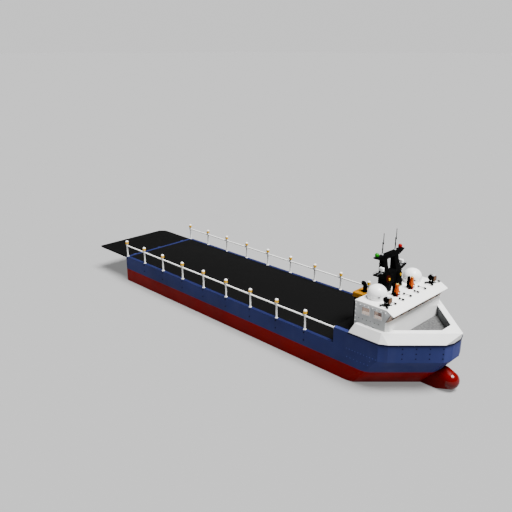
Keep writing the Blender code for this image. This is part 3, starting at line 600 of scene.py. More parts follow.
def plated(node, finish, slot, width=0.012, body="vessel", crease=PLATE_CREASE):
    """A copy of a node with its edges rounded as welded and faired plate, in its finish."""
    piece = duplicate(NODES[node])
    bpy.ops.object.parent_clear(type="CLEAR_KEEP_TRANSFORM")
    for key in list(piece.keys()):
        del piece[key]
    edit_all()
    bpy.ops.mesh.remove_doubles(threshold=0.00005)
    bpy.ops.mesh.dissolve_limited(angle_limit=radians(0.5))
    bpy.ops.object.mode_set(mode="OBJECT")
    new_piece(node + "_plating")
    round_edges(piece, width, crease=crease)
    return fit(piece, slot, node, finish=finish, body=body)


# Places for what repeats


def facing(at, normal=(0, 0, 1)):
    """The place of a piece that stands on a face with this normal."""
    turn = Vector((0, 0, 1)).rotation_difference(Vector(normal))
    return Matrix.Translation(at) @ turn.to_matrix().to_4x4()


def between(start, end, count):
    """Points spread evenly from start to end."""
    start, end = Vector(start), Vector(end)
    return [start.lerp(end, step / (count - 1)) for step in range(count)]


def around(centre, radius, count, start=0.0, axis="Z", outwards=True):
    """Places spread evenly round an axis through the centre, from this angle on, facing outwards or up."""
    places = []
    for number in range(count):
        angle = radians(start) + 2 * pi * number / count
        out = Vector((cos(angle), sin(angle), 0) if axis == "Z" else (0, cos(angle), sin(angle)))
        places.append(facing(Vector(centre) + out * radius, out if outwards else (0, 0, 1)))
    return places


def repeated(name, piece, places, keep=False):
    """Copies of a piece at these places, joined into one. The pattern piece goes, unless it is kept."""
    copies = []
    for place in places:
        copies.append(duplicate(piece))
        copies[-1].matrix_world = place
    if not keep:
        bpy.data.objects.remove(piece)
    deselect()
    for one in copies:
        one.select_set(True)
    bpy.context.view_layer.objects.active = copies[0]
    bpy.ops.object.transform_apply(location=True, rotation=True, scale=True)
    return gather(name, copies)


def studs(name, places, radius, height, sides=10):
    """Round rivet or bolt heads that stand up from these places."""
    head = turned("stud", ORIGIN, [(radius, -0.004), (radius, height * 0.5), (radius * 0.6, height)], sides)
    return repeated(name, head, places)


# Upholstery


# How long the cover swells, in frames
CLOTH_FRAMES = 20


def cushion(name, low, high, thin):
    """An upholstered pad: a rounded box with its sides drawn in between the corners, swelled as cloth."""
    piece = block(name, low, high)
    edit_all()
    bpy.ops.mesh.subdivide(number_cuts=7)
    bpy.ops.object.mode_set(mode="OBJECT")
    low, high = Vector(low), Vector(high)
    middle, half = (low + high) / 2, (high - low) / 2
    drawn_in = 0.016
    wide = [axis for axis in range(3) if axis != thin]
    for vertex in piece.data.vertices:
        place = [(vertex.co[axis] - middle[axis]) / half[axis] for axis in range(3)]
        first, second = (place[axis] for axis in wide)
        for axis, across in ((wide[0], second), (wide[1], first)):
            vertex.co[axis] -= drawn_in * place[axis] * (1 - across**2)
    round_edges(piece, 0.024, 3)
    swell(piece, voxel=0.010, pressure=4.0, most=0.016)
    activate(piece)
    bpy.ops.object.shade_smooth()
    return apply_modifier(piece, "SUBSURF", levels=1, render_levels=1)


def swell(piece, voxel, pressure, most):
    """Stuffs a cover: an even mesh, blown up as cloth without gravity, no point of it further than this."""
    apply_modifier(piece, "REMESH", mode="VOXEL", voxel_size=voxel)
    start = [vertex.co.copy() for vertex in piece.data.vertices]
    activate(piece)
    cover = piece.modifiers.new("cover", "CLOTH")
    cover.settings.use_pressure = True
    cover.settings.uniform_pressure_force = pressure
    cover.settings.effector_weights.gravity = 0
    for step in range(1, CLOTH_FRAMES + 1):
        bpy.context.scene.frame_set(step)
    bpy.ops.object.modifier_apply(modifier=cover.name)
    bpy.context.scene.frame_set(1)
    for vertex, was in zip(piece.data.vertices, start):
        move = vertex.co - was
        vertex.co = was + move * min(1.0, most / max(move.length, 1e-9))


# The ferry's steps


class FerryStep(bpy.types.Operator):
    """A step that needs the ferry's finishes."""

    bl_options = {"REGISTER", "UNDO"}

    def execute(self, context):
        if not FINISH:
            FINISH.update(materials())
        deselect()
        self.build(context)
        return {"FINISHED"}


class FERRY_OT_stage(FerryStep):
    """Floor, light and camera of the studio"""

    bl_idname = "ferry.stage"
    bl_label = "Stage"

    def build(self, context):
        self.floor()
        self.sun()
        context.scene.world = self.air()
        context.scene.camera = self.camera()

    def floor(self):
        """A wide round table just below the hull, lit from below, which keeps the shadows on it faint."""
        bpy.ops.mesh.primitive_circle_add(vertices=128, radius=900, fill_type="NGON", location=(0, 0, -0.004))
        floor = new_piece("studio_floor")
        material, _, _ = start_material(
            "matt_pale_floor", Roughness=0.9, Specular_IOR_Level=0.05, Base_Color=(0.21, 0.21, 0.21, 1),
            Emission_Color=(1, 1, 1, 1), Emission_Strength=0.22,
        )
        floor.data.materials.append(material)

    def sun(self):
        """A broad soft light from above, a little before the bow."""
        bpy.ops.object.light_add(type="SUN", location=(20, 0, 40))
        sun = bpy.context.active_object
        sun.name = "key_light"
        sun.data.energy = 11.5
        sun.data.angle = radians(32)
        sun.rotation_euler = Vector((0.33, 0.08, 0.90)).to_track_quat("Z", "Y").to_euler()

    def air(self):
        """The studio's walls, pale up to a little above the horizon, and its dim ceiling."""
        world = bpy.data.worlds.new("studio_air")
        world.use_nodes = True
        tree = world.node_tree
        axes = coordinates(tree, "Generated")
        walls = ramp(tree, axes["Z"], 1.0, 0.08, 0.07, 0.22)
        # The wall off the starboard quarter is dimmer, so that round shapes turn into shade on that side
        along = add_node(tree, "ShaderNodeMath", {"operation": "ADD"}, {0: axes["X"], 1: axes["Y"]})
        scaled = {"operation": "MULTIPLY", 1: -DIAGONAL}
        quarter = add_node(tree, "ShaderNodeMath", scaled, {0: along.outputs[0]})
        dark = ramp(tree, quarter.outputs[0], 0.92, 0.35, 0.42, 0.85)
        feed(tree, tree.nodes["Background"], Color=walls, Strength=dark)
        return world

    def camera(self):
        """The photograph's view, fitted to the ferry's straight edges."""
        bpy.ops.object.camera_add(location=(31.049, -31.365, 20.066))
        camera = bpy.context.active_object
        aim = Vector((-0.3155, 0.0, 4.3836)) - camera.location
        camera.rotation_euler = aim.to_track_quat("-Z", "Y").to_euler()
        camera.data.lens = 43.456
        camera.data.sensor_width = 36
        camera.data.clip_end = 3000
        return camera


def inside_bulwark(at):
    """Whether this point is on the inner walls of the bulwark, round the foredeck."""
    half = abs(at.y)
    on_wall = abs(half - WELL_Y) < 0.015 or abs(at.x + half - WELL_SUM) < 0.02 or abs(at.x - WELL_X) < 0.015
    return on_wall and half < WELL_Y + 0.015 and UPPER_DECK_Z < at.z < BULWARK_Z - 0.02


class FERRY_OT_hull(FerryStep):
    """Hull with its rivets and rubbing strake, the bulb and the decks"""

    bl_idname = "ferry.hull"
    bl_label = "Hull and decks"

    def build(self, context):
        sizes = context.scene.ferry_sizes
        hull = plated("hull", "hull", "hull_paint", 0.015, crease=FLAT_CREASE)
        repaint(hull, "gunwale", lambda at: abs(at.z - DECK_Z) < 0.014)
        plated("car_deck", "deck", "deck_coating", 0.004)
        plated("landing_deck", "deck", "deck_coating", 0.006)
        plated("foredeck", "foredeck", "foredeck_coating", 0.006)
        bulwark = plated("bulwark", "white", "white_paint", sizes.plate_edge, crease=FLAT_CREASE)
        # The bulwark's inner walls are mid grey: painted shade
        repaint(bulwark, "mid_grey", inside_bulwark)
        edge = [(x, -y, UPPER_DECK_Z - 0.075) for x, y in BOW_EDGE]
        edge += [(x, -y, z) for x, y, z in reversed(edge)]
        # The strake is a real rubbing strake, and its near-black also paints the shadow line under the
        # bulwark
        fit(pipe("rubbing_strake", edge, sizes.strake, 16), "black_paint", finish="strake")
        self.rivets(sizes.rivet)
        self.scuppers()
        self.bulb()

    def rivets(self, radius):
        """Black rivets on the slanted bow plates, and blue ones on the sides of the raised forebody."""
        corner_x, corner_y = BOW_EDGE[2]
        dark, light = [], []
        for _, side in SIDES:
            for along in (0.85, 1.66, 2.46, 3.24):
                step = along * DIAGONAL
                x, y = corner_x + step, side * (corner_y - step)
                dark += [facing((x, y, z), (1, side, 0)) for z in (2.38, 2.70, 3.02)]
            y = side * HALF_BEAM
            rows = between((11.12, y, 2.19), (13.24, y, 2.19), 11)
            rows += between((11.17, y, 1.62), (12.71, y, 1.62), 7)
            rows.append(Vector((12.83, y, 1.93)))
            light += [facing(at, (0, side, 0)) for at in rows]
        fit(studs("bow_rivets", dark, radius, 0.018), "hull_paint", finish="black")
        fit(studs("side_rivets", light, radius, 0.018), "hull_paint", finish="rivet_blue")

    def scuppers(self):
        """Round drain mouths with a raised lip, two under each lamp post."""
        places = []
        for x in POST_XS:
            for _, side in SIDES:
                places += [facing((x + 0.02, side * HALF_BEAM, z), (0, side, 0)) for z in (2.04, 1.50)]
        outline = [(0.05, -0.004), (0.05, 0.02), (0.042, 0.026), (0.030, 0.026), (0.028, 0.008)]
        lip = turned("lip", ORIGIN, outline, 16)
        # Their near-black paint also stands for the shade inside the drain mouths
        fit(repeated("scuppers", lip, places), "hull_paint", finish="strake")

    def bulb(self):
        """The bulb with its glossy round nose, and a ring of rivets where they meet."""
        plated("bulbous_bow", "bulb", "bottom_paint", 0.004)
        nose_x, nose_z, radius = 16.24, 0.58, 0.562
        bpy.ops.mesh.primitive_uv_sphere_add(
            segments=64, ring_count=32, radius=radius, location=(nose_x, 0, nose_z), rotation=(0, pi / 2, 0)
        )
        nose = new_piece("bulb_nose")
        edit_all()
        cut = (nose_x - 0.02, 0, nose_z)
        bpy.ops.mesh.bisect(plane_co=cut, plane_no=(1, 0, 0), use_fill=True, clear_inner=True)
        bpy.ops.object.mode_set(mode="OBJECT")
        bpy.ops.object.shade_smooth_by_angle(angle=radians(TURNED_CREASE))
        fit(nose, "bottom_paint", finish="nose")
        seam = around((nose_x - 0.06, 0, nose_z), radius - 0.006, 28, axis="X")
        fit(studs("bulb_rivets", seam, 0.018, 0.010, 8), "bottom_paint", finish="bulb")


class FERRY_OT_rails(FerryStep):
    """Lamp posts along both sides, and the rail between them"""

    bl_idname = "ferry.rails"
    bl_label = "Rails and lamps"

    def build(self, context):
        sizes = context.scene.ferry_sizes
        post, lens = self.lamp_post(sizes.lens)
        for name, side in SIDES:
            y = side * POST_Y
            places = [facing((x, y, DECK_Z)) for x in POST_XS]
            posts = repeated("posts", post, places, keep=True)
            start, end = (POST_XS[0], y, RAIL_Z), (RAIL_END_X, y, RAIL_Z)
            bar = pipe("bar", [start, end], sizes.rail_bar, 24)
            sleeves = []
            for x in POST_XS:
                sleeve = pipe("sleeve", [(x - 0.085, y, RAIL_Z), (x + 0.085, y, RAIL_Z)], 0.070, 20)
                sleeves.append(round_edges(sleeve, 0.008))
            pad = round_edges(pipe("pad", [(RAIL_END_X - 0.03, y, RAIL_Z), end], 0.11, 20), 0.006)
            rail = gather(f"rail_{name}_fitted", [posts, bar, *sleeves, pad])
            fit(rail, "white_paint", f"rail_{name}", finish="white")
            lamps = repeated(f"rail_lamps_{name}", lens, places, keep=True)
            fit(lamps, "amber_lens", finish="amber")
        for pattern in (post, lens):
            bpy.data.objects.remove(pattern)

    def lamp_post(self, r):
        """One post with its cap and foot bolts, and apart from it the lens, which has about this radius."""
        foot = turned("post", ORIGIN, [
            (0.110, 0.0), (0.110, 0.024), (0.075, 0.034), (0.060, 0.08), (0.056, 1.04), (0.072, 1.08),
            (r - 0.006, 1.12), (r - 0.004, 1.130), (r - 0.012, 1.135),
        ], 28)
        cap = turned("cap", ORIGIN, [
            (r - 0.012, 1.302), (r - 0.004, 1.307), (r - 0.004, 1.345), (r - 0.02, 1.375), (r * 0.55, 1.398),
            (0.012, 1.405),
        ], 28)
        corners = [facing((x, y, 0.02)) for x in (-0.0644, 0.0644) for y in (-0.0644, 0.0644)]
        post = gather("lamp_post", [foot, cap, studs("bolts", corners, 0.014, 0.016, 6)])
        outline = [(r - 0.008, 1.126), (r + 0.008, 1.134), (r + 0.008, 1.304), (r - 0.008, 1.312)]
        return post, turned("lens", ORIGIN, outline, 28)


def on_house_side(side, inset, points):
    """Points given as (x, z) on a side wall of the wheelhouse, this far in from its face."""
    return [(x, side * (HOUSE_Y - inset), z) for x, z in points]


class FERRY_OT_house(FerryStep):
    """Wheelhouse shell with its rivets, side windows, corner panes and door"""

    bl_idname = "ferry.house"
    bl_label = "Wheelhouse"

    def build(self, context):
        front = plated("wheelhouse_front", "white", "white_paint", 0.010)
        # The front's side faces take the greyed white too: painted shade, as on the side walls
        repaint(front, "wall", lambda at: abs(at.y) > HOUSE_Y - 0.02 and at.z > 3.85)
        for node in ("wheelhouse_roof", "brow"):
            plated(node, "white", "white_paint", 0.010)
        # Sides, aft wall and door are greyed white, a painted shade on the walls that face away from the
        # light
        for node in ("wheelhouse_side_starboard", "wheelhouse_side_port", "wheelhouse_aft"):
            plated(node, "wall", "white_paint", 0.010)
        plated("front_glass", "glass", "window_glass", 0.002)
        self.rivets(context.scene.ferry_sizes.rivet)
        self.front_windows()
        for name, side in SIDES:
            self.side_windows(name, side)
            self.corner_pane(name, side)
        self.door()

    def rivets(self, radius):
        """White rivets along the top and the aft edge of each side, and a lower row of grey bolts."""
        upper, lower = [], []
        for _, side in SIDES:
            y = side * HOUSE_Y
            rows = between((11.27, y, 5.075), (13.34, y, 5.075), 8)
            rows += between((11.27, y, 3.98), (11.27, y, 4.82), 4)
            upper += [facing(at, (0, side, 0)) for at in rows]
            lower += [facing(at, (0, side, 0)) for at in between((11.52, y, 4.20), (12.92, y, 4.20), 6)]
        fit(studs("house_rivets", upper, radius * 1.1, 0.028), "white_paint", finish="white")
        fit(studs("house_bolts", lower, radius * 0.9, 0.028), "white_paint", finish="mid_grey")

    def side_windows(self, name, side):
        """The panes in one side, each with a pale trim and a rubber seal."""
        for number, (low_x, high_x) in enumerate(WINDOW_SPANS, 1):
            plated(f"window_{name}_{number}", "glass", "window_glass", 0.002)
            corners = [(low_x, WINDOW_LOW_Z), (high_x, WINDOW_LOW_Z)]
            corners += [(high_x, WINDOW_HIGH_Z), (low_x, WINDOW_HIGH_Z)]
            points = on_house_side(side, 0.0, corners)
            trim = pipe(f"window_trim_{name}_{number}", points, 0.024, 12, closed=True)
            fit(trim, "white_paint", finish="trim")
            points = on_house_side(side, 0.028, corners)
            seal = pipe(f"window_seal_{name}_{number}", points, 0.012, 8, closed=True)
            fit(seal, "black_paint", finish="gasket")

    def corner_pane(self, name, side):
        """The glass between a side and the front windows, its lit reveal and its seal."""
        inwards = (0, -side * 0.012, 0)
        outline = [(13.39, 4.486), (13.45, 4.486), (13.79, 4.925), (13.79, 4.955), (13.66, 5.025)]
        pane = plate(f"corner_pane_{name}", on_house_side(side, 0.045, outline), inwards)
        fit(pane, "window_glass", finish="glass")
        outline = [(13.40, 4.487), (13.44, 4.487), (13.77, 4.92), (13.64, 5.0)]
        reveal = plate(f"corner_reveal_{name}", on_house_side(side, 0.085, outline), inwards)
        fit(reveal, "white_paint", finish="lining")
        points = on_house_side(side, 0.020, [(13.378, 4.485), (13.695, 5.012)])
        fit(pipe(f"corner_seal_{name}", points, 0.020, 10), "black_paint", finish="gasket")

    def front_windows(self):
        """The front windows' frame: a tan sill, whose colour paints the lit room seen through the glass, and
        a black head and mullions that stand a little proud.
        """
        low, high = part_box("window_frame")
        half, foot, head = high.y, low.z, high.z
        foot_x, head_x = 13.43, 13.78
        lean = (head_x - foot_x) / (head - foot)

        def bar(name, low_y, high_y, low_z, high_z, proud):
            """A bar that leans with the glass."""
            at_low, at_high = (foot_x + lean * (z - foot) for z in (low_z, high_z))
            outline = [(at_low, low_z), (at_low + proud, low_z), (at_high + proud, high_z), (at_high, high_z)]
            corners = [(x, low_y, z) for x, z in outline]
            return round_edges(plate(name, corners, (0, high_y - low_y, 0)), 0.004)

        # The sill's tan is painted light: it stands for the lit room behind the glass
        sill = bar("window_sill", -half, half, foot, foot + 0.034, 0.060)
        fit(sill, "white_paint", "window_frame", finish="sill")
        bars = [bar("head", -half, half, head - 0.05, head, 0.060)]
        for number in range(-3, 4):
            y = 0.83 * number
            bars.append(bar("mullion", y - 0.034, y + 0.034, foot + 0.001, head - 0.049, 0.064))
        fit(gather("window_mullions", bars), "black_paint", "window_frame", finish="gasket")

    def door(self):
        """The aft door, with a round window in a dished frame."""
        # The door is greyed white: painted shade, as on the aft wall
        plated("aft_door", "wall", "white_paint", 0.006, "door")
        place = facing((11.18, 1.48, 4.55), (-1, 0, 0))
        outline = [(0.17, -0.002), (0.17, 0.018), (0.155, 0.026), (0.135, 0.026), (0.125, 0.010)]
        rim = repeated("door_port_rim", turned("rim", ORIGIN, outline, 32), [place])
        fit(rim, "antenna_steel", finish="steel", body="door")
        outline = [(0.128, 0.0), (0.128, 0.010), (0.09, 0.016), (0.02, 0.018)]
        pane = repeated("door_port_glass", turned("pane", ORIGIN, outline, 32), [place])
        fit(pane, "window_glass", finish="screen", body="door")


class FERRY_OT_cabin(FerryStep):
    """Inside the wheelhouse: lining, cabinet, console with screens, and the helm seat"""

    bl_idname = "ferry.cabin"
    bl_label = "Cabin"

    def build(self, context):
        self.lining()
        self.furniture()
        self.seat()

    def lining(self):
        """Panels on the aft wall, round the door, and on the ceiling."""
        low_x, high_x, front_x, door_z = 11.285, 11.31, 13.38, 5.10
        door_low_y, door_high_y = 1.08, 1.88
        panels = []
        for low_y, high_y, low_z in (
            (-ROOM_Y, door_low_y, FLOOR_Z), (door_high_y, ROOM_Y, FLOOR_Z), (door_low_y, door_high_y, door_z),
        ):
            panels.append(slab("panel", (low_x, low_y, low_z), (high_x, high_y, ROOM_TOP_Z), 0.006, "lining"))
        low, high = (ROOM_X, -ROOM_Y, ROOM_TOP_Z - 0.005), (front_x, ROOM_Y, ROOM_TOP_Z + 0.020)
        panels.append(slab("ceiling", low, high, 0.006, "lining"))
        fit(gather("cabin_lining", panels), "white_paint")

    def furniture(self):
        """A chart cabinet aft, a counter to starboard, and the console with its screens and keys."""
        cabinet = slab("cabinet", (ROOM_X, -2.38, FLOOR_Z), (11.80, 0.9, 4.02), 0.015, "white")
        worktop = slab("worktop", (ROOM_X, -2.39, 4.02), (11.83, 0.92, 4.06), 0.010, "lining")
        fit(gather("chart_cabinet", [cabinet, worktop]), "console_plastic")
        side = slab("side", (11.35, -ROOM_Y, FLOOR_Z), (12.92, -2.43, 4.345), 0.012, "counter")
        shelf = slab("shelf", (11.34, -3.01, 4.345), (12.93, -2.41, 4.375), 0.008, "counter")
        fit(gather("side_counter", [side, shelf]), "console_plastic")
        plated("helm_console", "console", "console_plastic", 0.02)
        screens = []
        for y in (-2.05, -1.03, 0.0, 1.03, 2.05):
            screen = slab("screen", (13.10, y - 0.30, 4.302), (13.26, y + 0.30, 4.330), 0.008, "screen")
            keys = slab("keys", (12.95, y - 0.22, 4.196), (13.11, y + 0.22, 4.214), 0.005, "gasket")
            # The keys lie on the console's sloping face
            screens += [screen, lay(keys, (13.03, y, 4.20), (0, -63.4, 0))]
        fit(gather("helm_screens", screens), "console_plastic")

    def seat(self):
        """The helm seat: a steel column on a round foot, a pan, and two upholstered pads."""
        low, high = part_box("helm_seat")
        x, y = high.x - 0.25, (low.y + high.y) / 2
        column = turned("column", (x, y, FLOOR_Z - 0.009), [
            (0.22, 0.0), (0.22, 0.02), (0.12, 0.045), (0.055, 0.06), (0.050, 0.38), (0.10, 0.40),
            (0.10, 0.425),
        ], 32)
        pan = slab("pan", (x - 0.20, y - 0.22, 3.72), (x + 0.22, y + 0.22, 3.745), 0.008, "steel")
        fit(gather("seat_column", [column, pan]), "antenna_steel", "helm_seat", finish="steel")
        seat = cushion("seat_cushion", (x - 0.21, y - 0.24, 3.75), (x + 0.24, y + 0.24, 3.85), thin=2)
        back = cushion("seat_back", (x - 0.255, y - 0.22, 3.865), (x - 0.165, y + 0.22, 4.60), thin=0)
        for pad in (seat, back):
            fit(pad, "seat_leather", "helm_seat", finish="seat")


class FERRY_OT_casing(FerryStep):
    """Engine casing, its orange hood and the exhaust"""

    bl_idname = "ferry.casing"
    bl_label = "Casing and exhaust"

    def build(self, context):
        plated("engine_casing", "black", "black_paint")
        plated("casing_hood", "orange", "orange_paint", 0.025)
        hatch = [slab("hatch", (10.25, -0.32, 4.45), (10.95, 0.32, 4.485), 0.012, "orange")]
        for y in (-0.22, 0.22):
            points = [(10.45, y, 4.48), (10.45, y, 4.53), (10.75, y, 4.53), (10.75, y, 4.48)]
            hatch.append(paint(pipe("grip", points, 0.012, 10), "black"))
        fit(gather("hood_hatch", hatch), "orange_paint")
        slats = []
        for _, side in SIDES:
            low_y, high_y = sorted((side * 0.498, side * 0.53))
            for step in range(7):
                z = 2.75 + 0.14 * step
                slats.append(slab("slat", (9.35, low_y, z), (9.98, high_y, z + 0.05), 0.006, "black"))
        fit(gather("casing_louvres", slats), "black_paint")
        self.exhaust()

    def exhaust(self):
        """A flue with a bent top, on a bolted flange, with a clamp below the bend."""
        x, foot = 9.73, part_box("exhaust_pipe")[0].z
        bend_z, bend_radius, mouth_x = 4.84, 0.17, 9.50
        points = [(x, 0, foot)]
        for turn in range(0, 91, 10):
            across, up = bend_radius * (1 - cos(radians(turn))), bend_radius * sin(radians(turn))
            points.append((x - across, 0, bend_z + up))
        flue = pipe("flue", [*points, (mouth_x, 0, bend_z + bend_radius)], 0.135, 40)
        outline = [(0.23, 0), (0.23, 0.045), (0.19, 0.05), (0.15, 0.055), (0.145, 0.09)]
        flange = turned("flange", (x, 0, foot), outline, 40)
        bolts = studs("bolts", around((x, 0, foot + 0.04), 0.195, 10, outwards=False), 0.016, 0.018, 6)
        clamp = turned("clamp", (x, 0, 4.70), [(0.137, 0), (0.150, 0.006), (0.150, 0.044), (0.137, 0.05)], 40)
        exhaust = gather("exhaust_fitted", [flue, flange, bolts, clamp])
        fit(exhaust, "black_paint", "exhaust_pipe", finish="black")


class FERRY_OT_mast(FerryStep):
    """Mast with its lamps, whip antennas, rungs and radars"""

    bl_idname = "ferry.mast"
    bl_label = "Mast"

    def build(self, context):
        plated("mast", "black", "black_paint", 0.012)
        rungs = []
        for step in range(6):
            z = 5.55 + 0.28 * step
            points = [(11.225, -0.46, z), (11.16, -0.46, z), (11.16, -0.77, z), (11.225, -0.77, z)]
            rungs.append(pipe("rung", points, 0.014, 8))
        fit(gather("mast_rungs", rungs), "black_paint", finish="black")
        for name, side in SIDES:
            self.sidelight(name, side)
            self.whip(name, side)
            self.amber_lamp(name, side)
            self.radar(name, side)

    def sidelight(self, name, side):
        """A lamp on the end of the beam: green to starboard and red to port."""
        lamp = {"starboard": "green", "port": "red"}[name]
        at = (BEAM_X, side * SIDELIGHT_Y, BEAM_Z)
        base = turned(f"sidelight_base_{name}", at, [(0.105, 0.0), (0.105, 0.02), (0.085, 0.035)], 24)
        fit(base, "black_paint", finish="black")
        lens = turned(f"sidelight_lens_{lamp}", at, [
            (0.085, 0.0), (0.120, 0.05), (0.132, 0.10), (0.130, 0.15), (0.110, 0.20), (0.07, 0.238),
            (0.02, 0.252),
        ], 32)
        fit(lens, f"{lamp}_lens", f"sidelight_{lamp}", finish=lamp)

    def whip(self, name, side):
        """A whip antenna: a socket, a lower rod with ferrules, and an upper rod clamped beside it."""
        parts = []
        for part, beside, finish, outline in (
            ("socket", 0.0, "grey", [(0.07, 0.0), (0.07, 0.03), (0.05, 0.05), (0.045, 0.09), (0.034, 0.10)]),
            ("lower", 0.0, "black", [(0.032, 0.095), (0.030, 0.32), (0.030, 0.72)]),
            ("sleeve", 0.0, "black", [(0.026, 0.30), (0.040, 0.32), (0.040, 0.40), (0.026, 0.42)]),
            ("clamp", 0.02, "dark_grey", [(0.034, 0.68), (0.056, 0.70), (0.056, 0.79), (0.034, 0.81)]),
            ("upper", 0.045, "black", [(0.026, 0.74), (0.024, 1.00), (0.022, 1.30), (0.014, 1.385)]),
        ):
            at = (BEAM_X, side * WHIP_Y + beside, BEAM_Z)
            parts.append(paint(turned(part, at, outline, 16), finish))
        fit(gather(f"whip_{name}", parts), "antenna_steel", f"whip_antenna_{name}")

    def amber_lamp(self, name, side):
        """A working lamp on its shelf, before a round disc, which to starboard paints the lamp's glow on the
        mast, and a stub bar above it.
        """
        y, low = side * MAST_LAMP_Y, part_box(f"amber_lamp_{name}")[0].z
        lens = turned(f"amber_lens_{name}", (MAST_LAMP_X, y, low), [
            (0.024, 0), (0.024, 0.045), (0.050, 0.048), (0.054, 0.056), (0.054, 0.158), (0.046, 0.168),
            (0.012, 0.17),
        ], 24)
        fit(lens, "amber_lens", f"amber_lamp_{name}", finish="amber")
        # To starboard the disc paints the lamp's dark red glow on the mast; to port it is black like the mast
        disc = turned("disc", ORIGIN, [(0.23, -0.02), (0.23, 0.006), (0.21, 0.012), (0.04, 0.004)], 40)
        place = facing((MAST_LAMP_X - 0.06, y, low + 0.11), (1, 0, 0.2))
        lamp_disc = repeated(f"amber_glow_disc_{name}", disc, [place])
        fit(lamp_disc, "black_paint", finish="halo" if name == "starboard" else "black")
        bar = pipe(f"stub_bar_{name}", [(11.66, side * 0.84, 6.18), (11.66, side * 1.12, 6.18)], 0.028, 12)
        fit(round_edges(bar, 0.006), "black_paint", finish="black")

    def radar(self, name, side):
        """A small radar on its bracket: a tapered pedestal, a white case with a seam, and low guard rails."""
        low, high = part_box(f"radar_scanner_{name}")
        x, y, z = (low.x + high.x) / 2, (low.y + high.y) / 2, low.z
        pedestal = turned("pedestal", (x, y, z), [
            (0.090, 0.0), (0.090, 0.020), (0.070, 0.034), (0.048, 0.055), (0.045, 0.150), (0.060, 0.165),
        ], 28)
        case = slab("case", (x - 0.14, y - 0.08, z + 0.16), (x + 0.14, y + 0.08, high.z), 0.020, "plastic", 3)
        seam_low, seam_high = (x - 0.142, y - 0.082, z + 0.262), (x + 0.142, y + 0.082, z + 0.270)
        seam = slab("seam", seam_low, seam_high, 0.002, "grey", 1)
        radar = gather(f"radar_{name}", [paint(pedestal, "grey"), case, seam])
        fit(radar, "white_plastic", f"radar_scanner_{name}", body=f"scanner_{name}")
        rails = []
        top, foot, radius = z + 0.085, z - 0.004, 0.011
        for rail_x, reaches in ((x - 0.24, (0.88, 1.24, 1.60)), (x + 0.066, (0.88, 1.60))):
            ys = [side * reach for reach in reaches]
            rails.append(pipe("rail", [(rail_x, ys[0], top), (rail_x, ys[-1], top)], radius, 10))
            rails += [pipe("leg", [(rail_x, leg, foot), (rail_x, leg, top)], radius, 8) for leg in ys]
        fit(gather(f"radar_guard_{name}", rails), "antenna_steel", finish="mid_grey")


class FERRY_OT_radomes(FerryStep):
    """Radomes on the roof, with their bolts and vents"""

    bl_idname = "ferry.radomes"
    bl_label = "Radomes"

    def build(self, context):
        for name, _ in SIDES:
            low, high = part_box(f"radome_{name}")
            x, y = (low.x + high.x) / 2, (low.y + high.y) / 2
            r = (high.x - low.x) / 2
            skirt = [(r - 0.02, 0.0), (r - 0.02, 0.20), (r, 0.225), (r, 0.275)]
            skirt += [(r - 0.006, 0.285), (r - 0.006, 0.30)]
            dome = [(r * cos(radians(a)), 0.32 + 0.54 * sin(radians(a))) for a in range(0, 88, 6)]
            shell = paint(turned("shell", (x, y, low.z), skirt + dome, 64), "plastic")
            middle = Vector((x, y, low.z + 0.25))
            bolts = paint(studs("bolts", around(middle, r, 16, start=11.25), 0.022, 0.012, 8), "grey")
            vents = [self.vent(middle, r - 0.004, angle) for angle in (-45, 135)]
            fit(gather(f"radome_{name}_shell", [shell, bolts, *vents]), "white_plastic", f"radome_{name}")

    def vent(self, middle, radius, angle):
        """An upright oblong vent on the skirt, which looks out at this angle."""
        out = Vector((cos(radians(angle)), sin(radians(angle)), 0))
        across = Vector((-out.y, out.x, 0))
        upright = Matrix((across, (0, 0, 1), out)).transposed().to_4x4()
        place = Matrix.Translation(middle + out * radius) @ upright @ Matrix.Diagonal((2.2, 1.0, 1.0, 1.0))
        cover = turned("vent", ORIGIN, [(0.036, -0.01), (0.036, 0.01), (0.030, 0.016)], 20)
        return paint(repeated("vent", cover, [place]), "gasket")


